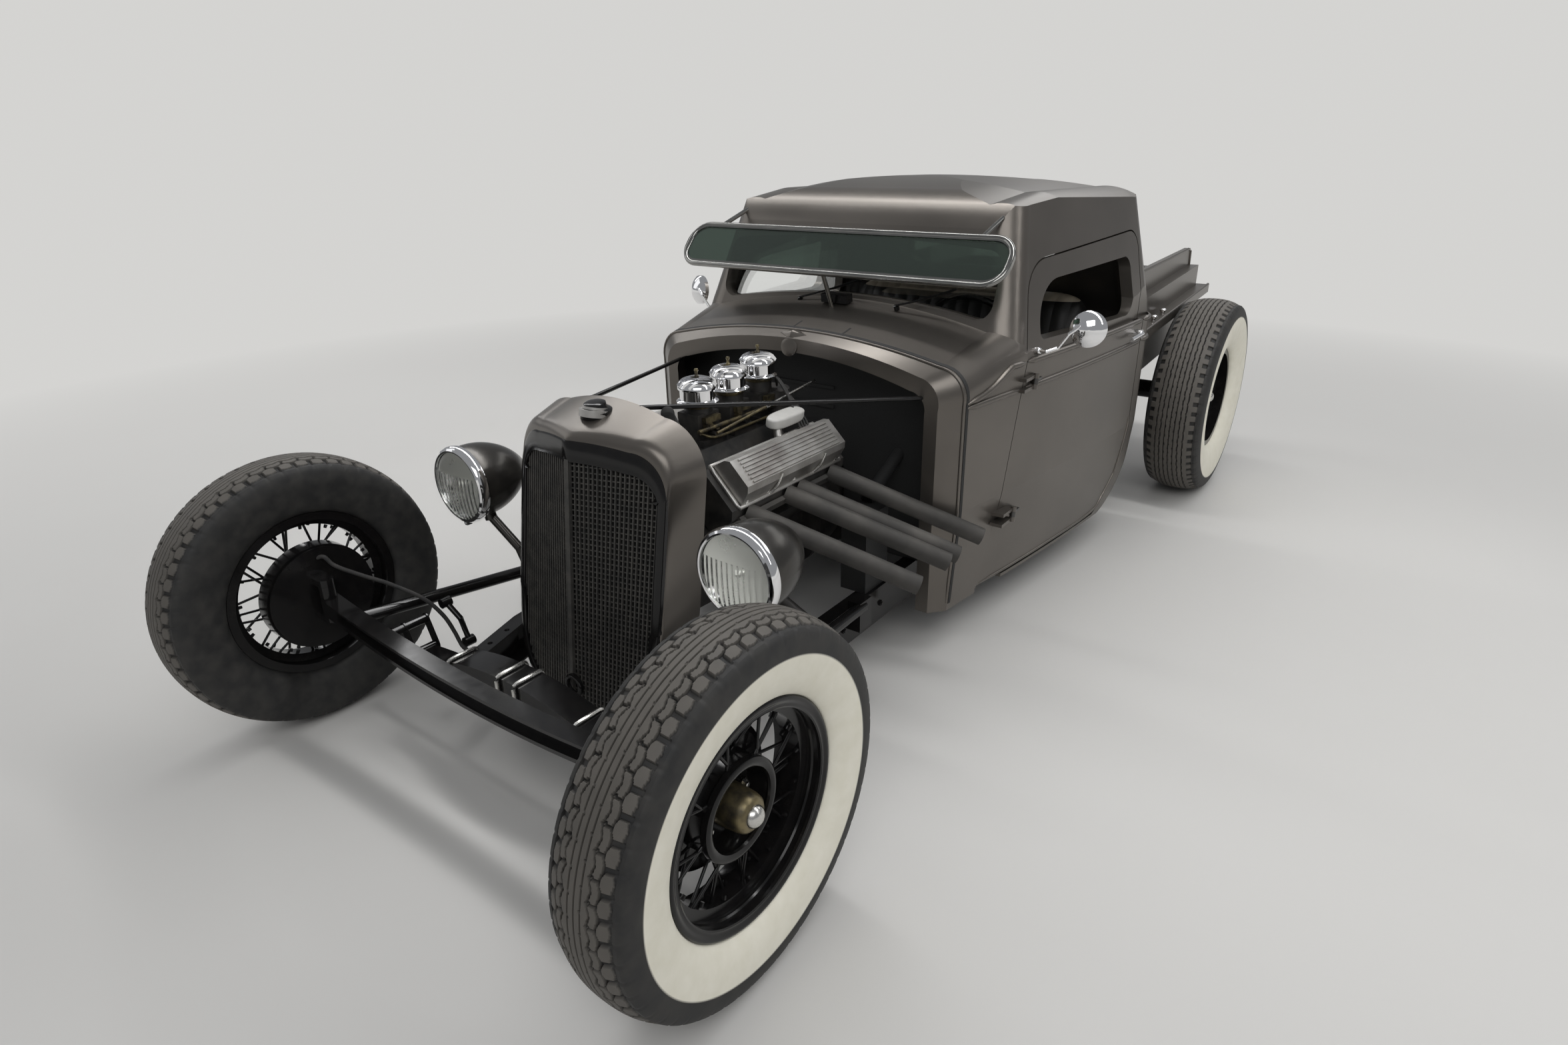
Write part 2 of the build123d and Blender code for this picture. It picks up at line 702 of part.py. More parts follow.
lamp_foot_x = 348
with BuildPart() as headlights:
    for hand in (1, -1):
        with BuildSketch(lamp_plane(hand)) as bucket:
            with BuildLine():
                Line((0, 0), (lamp_radius, 0))
                ThreePointArc((lamp_radius, 0), (0.80 * lamp_radius, 0.62 * lamp_length), (0, lamp_length))
                Line((0, lamp_length), (0, 0))
            make_face()
        revolve(bucket.sketch, axis=lamp_axis(hand))
        stem_x = hand * (lamp_x - 12)
        rod((hand * lamp_x, lamp_y + 60, lamp_z - 80), (stem_x, lamp_y + 62, lamp_z - 120), 17)
        rod((stem_x, lamp_y + 62, lamp_z - 112), (hand * 400, lamp_y + 90, 400), 13)
        rod((hand * 400, lamp_y + 90, 402), (hand * (lamp_foot_x + 2), lamp_y + 110, kick_top + 8), 13)
        block(hand * lamp_foot_x, lamp_y + 110, kick_top + 8, 38, 70, 16)
pieces["headlights"] = headlights

with BuildPart() as headlight_lenses:
    for hand in (1, -1):
        with BuildSketch(lamp_plane(hand)) as lens:
            with BuildLine():
                Polyline((0, 0), (bezel_radius, 0), (bezel_radius, -10), (lamp_radius - 4, -18), (70, -26),
                         (40, -32), (0, -34), close=True)
            make_face()
        revolve(lens.sketch, axis=lamp_axis(hand))
pieces["headlight_lenses"] = headlight_lenses

# Engine: V block with heads, oil pan and bell housing on its mounts
bank = radians(bank_angle)
head_top = deck_height + head_height
engine_rear = engine_front + engine_length
mount_y = 770
mount_foot_x = 368


def bank_points(corners_uw, hand):
    """Places in the across plane from (along the bank, outward) distances."""
    turned = [(u * sin(bank) + w * cos(bank), u * cos(bank) - w * sin(bank)) for u, w in corners_uw]
    return [(hand * x, crank_z + z) for x, z in turned]


with BuildPart() as engine:
    valley = [(-118, crank_z + 30), (-118, crank_z - 20), (118, crank_z - 20), (118, crank_z + 30),
              (60, crank_z + 190), (-60, crank_z + 190)]
    panel(across(engine_front + 20), valley, -engine_length + 20)
    bore_bank = ((40, -70), (deck_height, -74), (deck_height, 72), (40, 72))
    head = ((deck_height, -92), (head_top, -92), (head_top, 34), (head_top - 20, 50), (deck_height, 50))
    for hand in (1, -1):
        panel(across(engine_front + 10), bank_points(bore_bank, hand), -engine_length + 20)
        panel(across(engine_front), bank_points(head, hand), -engine_length)
    oil_pan = [(engine_front + 20, crank_z - 20), (engine_front + 20, 270), (engine_front + 240, 262),
               (engine_front + 270, 205), (engine_rear - 10, 205), (engine_rear - 10, crank_z - 20)]
    panel(along(0), oil_pan, 92, both=True)
    with BuildSketch(across(engine_rear - 10)) as bell:
        with Locations((0, crank_z - 10)):
            Circle(185)
    extrude(bell.sketch, amount=-28)
    rod((0, engine_rear + 10, crank_z - 10), (0, engine_rear + 160, crank_z - 30), 150)
    for hand in (1, -1):
        rod((hand * 100, mount_y, crank_z - 18), (hand * (mount_foot_x - 4), mount_y, kick_top + 21), 18)
        block(hand * mount_foot_x, mount_y, kick_top + 8, 46, 70, 16)
pieces["engine"] = engine

# Gearbox behind the bell housing, with the drive shaft back to the rear axle
with BuildPart() as gearbox:
    case = [(engine_rear + 120, crank_z + 80), (engine_rear + 620, crank_z + 10),
            (engine_rear + 620, crank_z - 110), (engine_rear + 120, 220)]
    panel(along(0), case, 110, both=True)
    rod((0, engine_rear + 600, crank_z - 50), (0, wheelbase - 262, rear_hub_z), 38)
    add(engine.part, mode=Mode.SUBTRACT)
pieces["gearbox"] = gearbox

# Finned valve covers on the heads
cover_fins = 7
cover_half = cover_width / 2
cover_top = head_top + cover_height
fin_step = (cover_width - 56) / (cover_fins - 1)
with BuildPart() as valve_covers:
    mid = -cover_offset
    outline = ((head_top, mid - cover_half), (head_top, mid + cover_half), (head_top + 8, mid + cover_half),
               (cover_top - 14, mid + cover_half - 10), (cover_top, mid + cover_half - 22),
               (cover_top, mid - cover_half + 22), (cover_top - 14, mid - cover_half + 10),
               (head_top + 8, mid - cover_half))
    for hand in (1, -1):
        panel(across(cover_front), bank_points(outline, hand), -cover_length)
        for fin in range(cover_fins):
            fin_w = mid - cover_half + 28 + fin * fin_step
            ridge = ((cover_top - 2, fin_w - 2.5), (cover_top + 5, fin_w - 2), (cover_top + 5, fin_w + 2),
                     (cover_top - 2, fin_w + 2.5))
            panel(across(cover_front + 26), bank_points(ridge, hand), -cover_length + 52)
pieces["valve_covers"] = valve_covers

# Induction: manifold, three carburettors with their throttle shafts, and the ignition distributor
manifold_top = crank_z + 300
distributor_y = engine_rear - 10
with BuildPart() as induction:
    manifold = [(-72, crank_z + 192), (72, crank_z + 192), (96, crank_z + 250), (60, manifold_top),
                (-60, manifold_top), (-96, crank_z + 250)]
    panel(across(engine_front + 60), manifold, -engine_length + 110)
    for carb_y, cleaner_z in cleaners:
        block(0, carb_y, manifold_top + 8, 110, 96, 18)
        block(0, carb_y, manifold_top + 50, 72, 84, 70)
        rod((0, carb_y, manifold_top + 80), (0, carb_y, cleaner_z - 0.3), 38)
        rod((-60, carb_y, manifold_top + 30), (60, carb_y, manifold_top + 30), 5)
    with Locations(place(0, distributor_y, crank_z + 260)):
        Cylinder(42, 150)
    with Locations(place(0, distributor_y, crank_z + 350)):
        Cylinder(62, 60)
    add(engine.part, mode=Mode.SUBTRACT)
pieces["induction"] = induction

# Air cleaners: domed cans with a knob on top
with BuildPart() as air_cleaners:
    for carb_y, cleaner_z in cleaners:
        can_radius = cleaner_radius - 3
        brim_z = cleaner_z + 36
        dome_z = cleaner_z + cleaner_height
        with BuildSketch(across(carb_y)) as can:
            with BuildLine():
                Polyline((0, dome_z), (0, cleaner_z), (can_radius, cleaner_z), (can_radius, brim_z - 2),
                         (cleaner_radius, brim_z))
                ThreePointArc((cleaner_radius, brim_z), (0.76 * cleaner_radius, dome_z - 8), (0, dome_z))
            make_face()
        revolve(can.sketch, axis=Axis(place(0, carb_y, cleaner_z), (0, 0, 1)))
        with Locations(place(0, carb_y, dome_z + 8)):
            Cylinder(6, 20)
pieces["air_cleaners"] = air_cleaners


# Exhaust: four straight open pipes on each side, welded to the head flange
def pipe_place(hand, start_y, share):
    """Place on the centre line of a pipe, by its share of the run from the flange to the open end."""
    return (hand * (pipe_start_x + share * (pipe_end_x - pipe_start_x)), start_y + share * pipe_sweep,
            pipe_start_z + share * (pipe_end_z - pipe_start_z))


with BuildPart() as exhaust:
    port = head_top - 32
    flange = ((port - 34, 50.3), (port + 18, 50.3), (port + 18, 62), (port - 34, 62))
    flange_length = pipe_starts[-1] - pipe_starts[0] + 80
    for hand in (1, -1):
        for start_y in pipe_starts:
            rod(pipe_place(hand, start_y, 0), pipe_place(hand, start_y, 1), pipe_radius)
        panel(across(pipe_starts[0] - 40), bank_points(flange, hand), -flange_length)
    for hand in (1, -1):
        for start_y in pipe_starts:
            inside = pipe_place(hand, start_y, 0.12)
            rod(inside, pipe_place(hand, start_y, 1.02), pipe_radius - pipe_wall, mode=Mode.SUBTRACT)
    add(engine.part, mode=Mode.SUBTRACT)
pieces["exhaust"] = exhaust

# Belt drive: water pump and crank pulleys, generator and a four-bladed fan behind the radiator
pump_z = crank_z + 150
pulley_face = engine_front - 56
fan_y = engine_front - 90
fan_radius = 188
fan_pitch = radians(24)
with BuildPart() as engine_drive:
    rod((0, engine_front + 20, pump_z), (0, engine_front - 40, pump_z), 46)
    rod((0, engine_front - 40, pump_z), (0, pulley_face, pump_z), 78)
    rod((0, pulley_face, pump_z), (0, fan_y - 8, pump_z), 34)
    rod((0, engine_front + 20, crank_z), (0, pulley_face, crank_z), 84)
    rod((150, engine_front + 40, crank_z + 90), (150, engine_front - 40, crank_z + 90), 56)
    rod((100, engine_front + 10, crank_z + 100), (0, engine_front + 10, crank_z + 120), 20)
    for turn in (45, 135, 225, 315):
        reach_x = sin(radians(turn))
        reach_z = cos(radians(turn))
        tilted = Vector(reach_z * sin(fan_pitch), -cos(fan_pitch), -reach_x * sin(fan_pitch))
        blade_plane = Plane(origin=place(0, fan_y, pump_z), x_dir=(reach_x, 0, reach_z), z_dir=tilted)
        with BuildSketch(blade_plane) as blade:
            with Locations(((fan_radius + 20) / 2, 0)):
                RectangleRounded(fan_radius - 20, 58, 20)
        extrude(blade.sketch, amount=1.5, both=True)
    add(engine.part, mode=Mode.SUBTRACT)
pieces["engine_drive"] = engine_drive


# Cowl: arched section that widens from the engine opening back to the doors
def cowl_section(plane, half, side_z, corner_x, corner_z, crown, bottom, foot):
    """Arched outline: sides tucked in below, upright above, rounded shoulders and a crowned top."""
    shoulder_x = half - 0.28 * (half - corner_x)
    shoulder_z = corner_z - 0.26 * (corner_z - side_z)
    with BuildLine() as outline:
        Polyline((-half, side_z), (-half, tuck_z), (-foot, bottom), (foot, bottom), (half, tuck_z),
                 (half, side_z))
        ThreePointArc((half, side_z), (shoulder_x, shoulder_z), (corner_x, corner_z))
        ThreePointArc((corner_x, corner_z), (0, crown), (-corner_x, corner_z))
        ThreePointArc((-corner_x, corner_z), (-shoulder_x, shoulder_z), (-half, side_z))
    with BuildSketch(plane) as section:
        make_face(outline.edges())
    return section.sketch


# station, half width, height of the side, corner, crown, foot half width
cowl_stations = (
    (lip_y, lip_half, 752, 440, 842, lip_top, lip_half),
    (seam_y, seam_half, 770, 480, 868, 922, seam_half - 20),
    (screen_y + 20, 602, 836, 500, 930, 982, 602 - sill_tuck),
    (cowl_end, 607, 838, 502, 932, 984, 607 - sill_tuck),
)


def cowl_form(inset):
    """Cowl drawn in by a wall; the inner form runs past both ends and the foot."""
    past = 1 if inset else 0
    sections = []
    for y, half, side_z, corner_x, corner_z, crown, foot in cowl_stations:
        plane = across(y + {lip_y: -past, cowl_end: past}.get(y, 0))
        low = cowl_bottom - 10 * past
        section = cowl_section(plane, half - inset, side_z - 0.3 * inset, corner_x - 0.7 * inset,
                               corner_z - inset, crown - inset, low, foot - inset)
        sections.append(section)
    with BuildPart() as form:
        for first, second in zip(sections, sections[1:]):
            loft([first, second], ruled=True)
    return form.part


def quarter(start, end, outward):
    """Middle point of a rounded corner between two places in a level sketch."""
    (x1, y1), (x2, y2) = start, end
    share = 0.7071
    if outward == "front":
        return (x1 + (x2 - x1) * share, y2 + (y1 - y2) * share)
    return (x2 + (x1 - x2) * share, y1 + (y2 - y1) * share)


def plan_sketch(plane, front_y, rear_y, halves, corner, rear_corner):
    """Plan outline of the cab at one level: flat front, bowed sides, rounded corners."""
    front_half, middle_half, rear_half = halves
    front_corner = (front_half - corner, front_y)
    side_start = (front_half, front_y + corner)
    side_end = (rear_half, rear_y - rear_corner)
    rear_start = (rear_half - rear_corner, rear_y)
    middle = (middle_half, (side_start[1] + side_end[1]) / 2)
    first = quarter(front_corner, side_start, "front")
    last = quarter(side_end, rear_start, "rear")
    left = [front_corner, first, side_start, middle, side_end, last, rear_start]
    right = [(-x, y) for x, y in left]
    with BuildLine() as outline:
        Line(right[0], left[0])
        ThreePointArc(*left[0:3])
        ThreePointArc(*left[2:5])
        ThreePointArc(*left[4:7])
        Line(left[6], right[6])
        ThreePointArc(*right[6:3:-1])
        ThreePointArc(*right[4:1:-1])
        ThreePointArc(*right[2::-1])
    with BuildSketch(plane) as section:
        make_face(outline.edges())
    return section.sketch


pan_start = 2250


def lower_form(inset, pan=True):
    """Cab below the belt, drawn in towards the sill and closed by a curved pan at the rear."""
    past = 1 if inset else 0
    rear = cab_rear - inset
    top = belt_z + 2
    sections = []
    for z, draw in ((cowl_bottom - past, sill_tuck), (tuck_z, 0), (belt_z + past, 0)):
        halves = [half - draw - inset for half in (cab_front_half, cab_middle_half, cab_rear_half)]
        sections.append(plan_sketch(level(z), cab_front - past, rear, halves, 4, cab_corner - inset / 2))
    with BuildPart() as form:
        for first, second in zip(sections, sections[1:]):
            loft([first, second], ruled=True)
        if pan:
            foot = (pan_start - inset, cowl_bottom + inset)
            knee = (2462 - inset, 350)
            with BuildSketch(along(-800)) as profile:
                with BuildLine():
                    Polyline((1300, top), (1300, 100), (pan_start - inset, 100), foot)
                    ThreePointArc(foot, (2394 - 0.8 * inset, 212 + 0.6 * inset), knee)
                    ThreePointArc(knee, (2524 - inset, 570), (rear + 1, top))
                    Line((rear + 1, top), (1300, top))
                make_face()
            extrude(profile.sketch, amount=1600, mode=Mode.INTERSECT)
    return form.part


# station, half width, height of the side, corner, crown
roof_stations = (
    (1440, 610, 1080, 400, 1240, 1300),
    (1850, 640, 1100, 430, 1285, roof_crown),
    (2360, 668, 1110, 470, 1280, 1316),
    (2600, 672, 1110, 480, 1275, 1310),
)


def roof_section(y, half, shoulder_z, corner_x, corner_z, crown):
    """Outline of the roof across the car: upright sides, rounded corners, crowned top."""
    round_x = half - 0.24 * (half - corner_x)
    round_z = corner_z - 0.27 * (corner_z - shoulder_z)
    with BuildLine() as outline:
        Line((-half, 700), (half, 700))
        Line((half, 700), (half, shoulder_z))
        ThreePointArc((half, shoulder_z), (round_x, round_z), (corner_x, corner_z))
        ThreePointArc((corner_x, corner_z), (0, crown + 4), (-corner_x, corner_z))
        ThreePointArc((-corner_x, corner_z), (-round_x, round_z), (-half, shoulder_z))
        Line((-half, shoulder_z), (-half, 700))
    with BuildSketch(across(y)) as section:
        make_face(outline.edges())
    return section.sketch


def upper_form(inset):
    """Cab above the belt: leaning pillars cut by the side profile and the roof's corners."""
    slope = tan(radians(screen_lean))
    drop = min(inset, roof_wall)
    roof = []
    for y, half, shoulder_z, corner_x, corner_z, crown in roof_stations:
        roof.append(roof_section(y, half - drop, shoulder_z - drop, corner_x, corner_z - drop, crown - drop))
    with BuildPart() as dome:
        for first, second in zip(roof, roof[1:]):
            loft([first, second], ruled=True)
    sections = []
    for z in (belt_z, roof_crown + 18):
        rise = z - belt_z
        drawn = pillar_lean * rise + inset
        halves = [half - drawn for half in (pillar_half, cab_middle_half, cab_rear_half)]
        front_y = screen_y + (z - screen_z) * slope + inset
        rear_y = cab_rear - back_lean * rise - inset
        foot = level(z - (1 if inset and z == belt_z else 0))
        sections.append(plan_sketch(foot, front_y, rear_y, halves, 84, cab_corner - inset / 2))
    eave = (1572 + drop, 1172 - drop)
    brow = (1720, 1300 - drop)
    nape = (2280, 1306 - drop)
    back = (2508 - drop, 1090 - drop)
    with BuildPart() as form:
        loft(sections, ruled=True)
        with BuildSketch(along(-800)) as profile:
            with BuildLine():
                Polyline((2600, 700), (1300, 700), (1300, 1150 - drop), eave)
                ThreePointArc(eave, (1622 + drop, 1252 - drop), brow)
                ThreePointArc(brow, (1960, roof_crown - drop), nape)
                ThreePointArc(nape, (2430 - drop, 1250 - drop), back)
                Line(back, (2600, 700))
            make_face()
        extrude(profile.sketch, amount=1600, mode=Mode.INTERSECT)
        add(dome.part, mode=Mode.INTERSECT)
    return form.part


hinge_lean = (hinge_high[0] - hinge_low[0]) / (hinge_high[1] - hinge_low[1])


def door_prism(grow):
    """Door outline seen from the side, thickened right through the left wall."""
    foot_z = door_bottom - 1.6 * grow
    front_low = (1529 - hinge_lean * (739 - door_bottom) - grow, foot_z)
    front_belt = (cowl_end - grow, belt_z)
    pillar = (1598 - grow, 1000)
    header = (1730, 1108 + grow)
    rear_header = (door_rear - 60, 1140 + grow)
    rear_high = (door_rear + 4 + grow, 1080)
    rear_low = (door_rear + grow, 500)
    foot = (2200, foot_z)
    with BuildPart() as prism:
        with BuildSketch(along(300)) as outline_face:
            with BuildLine():
                Polyline(foot, front_low, front_belt, pillar)
                ThreePointArc(pillar, (1642 - 0.8 * grow, 1072 + 0.6 * grow), header)
                Line(header, rear_header)
                ThreePointArc(rear_header, (door_rear - 12 + 0.7 * grow, 1122 + 0.7 * grow), rear_high)
                Line(rear_high, rear_low)
                ThreePointArc(rear_low, (door_rear - 46 + 0.8 * grow, 258 - 0.6 * grow), foot)
            make_face()
        extrude(outline_face.sketch, amount=600)
    return prism.part


def window_prism():
    """Opening of the side window, thickened right through the left wall."""
    with BuildPart() as prism:
        with BuildSketch(along(300)) as outline_face:
            with BuildLine():
                Line((1660, 885), (2260, 868))
                ThreePointArc((2260, 868), (2300, 884), (2316, 922))
                Line((2316, 922), (2312, 1020))
                ThreePointArc((2312, 1020), (2298, 1052), (2262, 1062))
                Line((2262, 1062), (1790, 1048))
                ThreePointArc((1790, 1048), (1690, 1006), (1642, 910))
                ThreePointArc((1642, 910), (1646, 892), (1660, 885))
            make_face()
        extrude(outline_face.sketch, amount=600)
    return prism.part


screen_half = 500
screen_low = 952
screen_top = 1142
pane_gap = 0.3


def screen_outline(gap):
    """Windshield opening seen from the front, with bowed edges and rounded corners, drawn in by a gap."""
    half = screen_half - gap
    low = screen_low + gap
    top = screen_top - gap
    right = [(-half, low + 48), (-half, top - 50), (14 - half, top - 14), (-450, top)]
    left = [(-x, z) for x, z in right]
    with BuildLine() as outline:
        Line(right[0], right[1])
        ThreePointArc(*right[1:4])
        ThreePointArc(right[3], (0, top + 18), left[3])
        ThreePointArc(left[3], left[2], left[1])
        Line(left[1], left[0])
        ThreePointArc(left[0], (half - 14, low + 12), (450, low))
        ThreePointArc((450, low), (0, low + 38), (-450, low))
        ThreePointArc((-450, low), (14 - half, low + 12), right[0])
    with BuildSketch(across(1450)) as section:
        make_face(outline.edges())
    return section.sketch


cowl_outer = cowl_form(0)
cowl_inner = cowl_form(wall)
lower_outer = lower_form(0)
lower_inner = lower_form(wall)
upper_outer = upper_form(0)
upper_inner = upper_form(wall)
window_cut = window_prism()
door_outline = door_prism(0)
door_outline_wide = door_prism(seam_gap)
lower_core_wide = lower_form(wall + seam_gap, pan=False)
core_top = belt_z - 1
with BuildPart() as door_core:
    add(lower_core_wide)
    block(0, 1900, core_top + 50, 1600, 2000, 100, mode=Mode.SUBTRACT)
with BuildPart() as door_gap:
    add(door_outline_wide)
    add(door_core.part, mode=Mode.SUBTRACT)
door_cut = door_gap.part
door_cut_right = mirror(door_cut, about=Plane.YZ)

door_outline_right = mirror(door_outline_wide, about=Plane.YZ)
door_notch_y = 1395
with BuildPart() as cowl:
    add(cowl_outer)
    add(cowl_inner, mode=Mode.SUBTRACT)
    add(door_outline_wide, mode=Mode.SUBTRACT)
    add(door_outline_right, mode=Mode.SUBTRACT)
    # the door's front corner drops as it opens, so the sill below it starts behind the cowl
    notch_run = cowl_end + 2 - door_notch_y
    block(0, door_notch_y + notch_run / 2, door_bottom - 50, 1400, notch_run, 100, mode=Mode.SUBTRACT)
pieces["cowl"] = cowl

# Stay rods from the shell's rear edge back to the cowl's lip
with BuildPart() as stay_rods:
    for hand in (1, -1):
        rod((hand * 82, shell_rear - 2, 869), (hand * 450, lip_y + 4, 785), 6)
    add(grille_shell.part, mode=Mode.SUBTRACT)
    add(cowl.part, mode=Mode.SUBTRACT)
pieces["stay_rods"] = stay_rods

with BuildPart() as greenhouse:
    add(upper_outer)
    add(upper_inner, mode=Mode.SUBTRACT)
    add(cowl_outer, mode=Mode.SUBTRACT)
    add(cowl_inner, mode=Mode.SUBTRACT)

rail_notch = 4
with BuildPart() as cab:
    add(lower_outer)
    add(lower_inner, mode=Mode.SUBTRACT)
    block(0, (cab_front + cowl_end) / 2, 500, 1400, cowl_end - cab_front + 2, 760, mode=Mode.SUBTRACT)
    add(greenhouse.part)
    notch_width = rail_width + 2 * rail_notch
    notch_height = 2 * (rail_height - 40 + rail_notch)
    for hand in (1, -1):
        block(hand * (rail_x - rail_width / 2), 2330, rail_bottom + 40, notch_width, 360, notch_height,
              mode=Mode.SUBTRACT)
    block(0, 2450, 390, 140, 300, 120, mode=Mode.SUBTRACT)
    add(door_cut, mode=Mode.SUBTRACT)
    add(door_cut_right, mode=Mode.SUBTRACT)
    extrude(screen_outline(0), amount=-260, mode=Mode.SUBTRACT)
    with BuildSketch(across(2400)) as back_hole:
        with Locations((0, 1030)):
            RectangleRounded(620, 120, 50)
    extrude(back_hole.sketch, amount=-200, mode=Mode.SUBTRACT)
pieces["cab"] = cab


def door_layer(depth, outline):
    """Part of the door from the skin inwards, cut to an outline."""
    lower_room = lower_form(depth, pan=False)
    upper_room = upper_form(depth)
    with BuildPart() as low:
        add(lower_outer)
        add(lower_room, mode=Mode.SUBTRACT)
    with BuildPart() as layer:
        add(upper_outer)
        add(upper_room, mode=Mode.SUBTRACT)
        add(low.part)
        add(outline, mode=Mode.INTERSECT)
    return layer.part


# Doors: full-size outer skin and a smaller inner box that starts behind the hinge line
door_skin = 12
door_step = 45
door_shell = door_layer(door_skin, door_outline)
door_box = door_layer(wall, door_prism(-door_step))
with BuildPart() as door_left:
    add(door_shell)
    add(door_box)
    add(window_cut, mode=Mode.SUBTRACT)
pieces["door_left"] = door_left
pieces["door_right"] = mirrored(door_left)

# Cowl hinges: outer barrels with their pins; the middle barrels ride on the doors
# middle of the hinge in the side view, half width of the cowl's skin there
hinges = ((hinge_low, 583), (hinge_high, 600))
third = hinge_height / 6
barrel_gap = 0.5
strap_reach = 74


def hinge_rod(middle, low, high, radius, hands=(1, -1), mode=Mode.ADD):
    """Round bar along the leaning hinge line, between two heights from the hinge's middle."""
    y0, z0 = middle
    for hand in hands:
        start = (hand * hinge_x, y0 + low * hinge_lean, z0 + low)
        rod(start, (hand * hinge_x, y0 + high * hinge_lean, z0 + high), radius, mode=mode)


with BuildPart() as cowl_hinges:
    for middle, skin_x in hinges:
        for low, high in ((-3 * third, -third - barrel_gap), (third + barrel_gap, 3 * third)):
            hinge_rod(middle, low, high, hinge_radius)
            strap_up = (low + high) / 2
            strap_y = middle[0] - strap_reach / 2 + strap_up * hinge_lean
            for hand in (1, -1):
                block(hand * (skin_x + hinge_x) / 2, strap_y, middle[1] + strap_up, hinge_x - skin_x,
                      strap_reach, high - low - 5)
        hinge_rod(middle, -3 * third, 3 * third, hinge_pin_radius)
    add(cowl_outer, mode=Mode.SUBTRACT)
    add(lower_outer, mode=Mode.SUBTRACT)
pieces["cowl_hinges"] = cowl_hinges

handle_y = door_rear - 62
handle_z = 800
with BuildPart() as door_hardware_left:
    for middle, skin_x in hinges:
        hinge_rod(middle, -third, third, hinge_radius, hands=(1,))
        block((hinge_x + 590) / 2, middle[0] + 26, middle[1], hinge_x - 590, 52, 2 * third - 7)
        hinge_rod(middle, -hinge_height, hinge_height, hinge_pin_radius + running_clearance, hands=(1,),
                  mode=Mode.SUBTRACT)
    rod((670, handle_y, handle_z), (712, handle_y, handle_z), 15)
    rod((710, handle_y + 6, handle_z), (706, handle_y - 104, handle_z - 4), 8)
    add(lower_outer, mode=Mode.SUBTRACT)
    add(cowl_outer, mode=Mode.SUBTRACT)
pieces["door_hardware_left"] = door_hardware_left
pieces["door_hardware_right"] = mirrored(door_hardware_left)

# Round mirrors with domed backs on bent arms from the doors' front corners
mirror_radius = 52
mirror_foot = (602, 1602, 861)
mirror_arm = ((613, 1602, 861), (640, 1592, 863), (668, 1608, 874), (698, 1602, 918), (724, 1614, 941))
mirror_arm_radius = 5
mirror_centre = (742, 1636, 931)
mirror_way = Vector(-0.35, 0.92, -0.1)
mirror_side = Vector(0.92, 0.35, 0)
with BuildPart() as mirror_left:
    rod(mirror_foot, mirror_arm[0], 10)
    with Locations(place(*mirror_arm[0])):
        Sphere(11)
    for first, second in zip(mirror_arm, mirror_arm[1:]):
        rod(first, second, mirror_arm_radius)
        with Locations(place(*second)):
            Sphere(mirror_arm_radius)
    side_view = Plane(origin=place(*mirror_centre), x_dir=mirror_side, z_dir=mirror_side.cross(mirror_way))
    with BuildSketch(side_view) as head:
        with BuildLine():
            ThreePointArc((0, -26), (36, -14), (mirror_radius, 0))
            Polyline((mirror_radius, 0), (mirror_radius, 14), (mirror_radius - 6, 18), (0, 18), (0, -26))
        make_face()
    revolve(head.sketch, axis=Axis(place(*mirror_centre), mirror_way))
    add(upper_outer, mode=Mode.SUBTRACT)
pieces["mirror_left"] = mirror_left
pieces["mirror_right"] = mirrored(mirror_left)

# Firewall, floor with its tunnel, and dashboard, each cut to the inside of the body
fit = wall + 0.6
cowl_fit = cowl_form(fit)
lower_fit = lower_form(wall + seam_gap + 0.4)
floor_z = kick_top
tunnel_half = 128
tunnel_top = 491
tunnel_low = 448
sheet = 6
column_x = 320
column_top = (column_x, 1775, 800)
column_foot = (column_x, 1130, 478)
column_radius = 19
firewall_mid = 650
with BuildPart() as firewall:
    add(cowl_fit)
    block(0, firewall_y, firewall_mid, 1400, sheet, 2 * (firewall_mid - floor_z - sheet), mode=Mode.INTERSECT)
    block(0, firewall_y, floor_z + 2, 2 * tunnel_half, 3 * sheet, 2 * (tunnel_top - floor_z),
          mode=Mode.SUBTRACT)
    rod(column_foot, column_top, column_radius + 0.3, mode=Mode.SUBTRACT)
    for rib_z in (560, 620, 680, 740):
        block(-120, firewall_y - sheet, rib_z, 420, sheet, 10)
pieces["firewall"] = firewall

floor_front = firewall_y + sheet / 2
floor_rear = 2300
with BuildPart() as footwell_room:
    add(cowl_fit)
    room_end = cab_front + 40
    block(0, (floor_front + room_end) / 2, 500, 1400, room_end - floor_front, 1200, mode=Mode.INTERSECT)

with BuildPart() as cabin_room:
    add(lower_fit)
    room_start = cab_front + 30
    block(0, (room_start + floor_rear) / 2, 500, 1500, floor_rear - room_start, 1200, mode=Mode.INTERSECT)

with BuildPart() as cab_floor:
    add(footwell_room.part)
    add(cabin_room.part)
    block(0, 1900, floor_z + sheet / 2, 1500, 1400, sheet, mode=Mode.INTERSECT)
    tunnel = ((floor_front, floor_z), (floor_front, tunnel_top), (1780, tunnel_top), (1900, tunnel_low),
              (floor_rear, tunnel_low), (floor_rear, floor_z))
    under = ((firewall_y - 1, floor_z - 1), (firewall_y - 1, tunnel_top - sheet), (1778, tunnel_top - sheet),
             (1898, tunnel_low - sheet), (floor_rear + 1, tunnel_low - sheet), (floor_rear + 1, floor_z - 1))
    panel(along(0), tunnel, tunnel_half, both=True)
    panel(along(0), under, tunnel_half - sheet, both=True, mode=Mode.SUBTRACT)
pieces["cab_floor"] = cab_floor

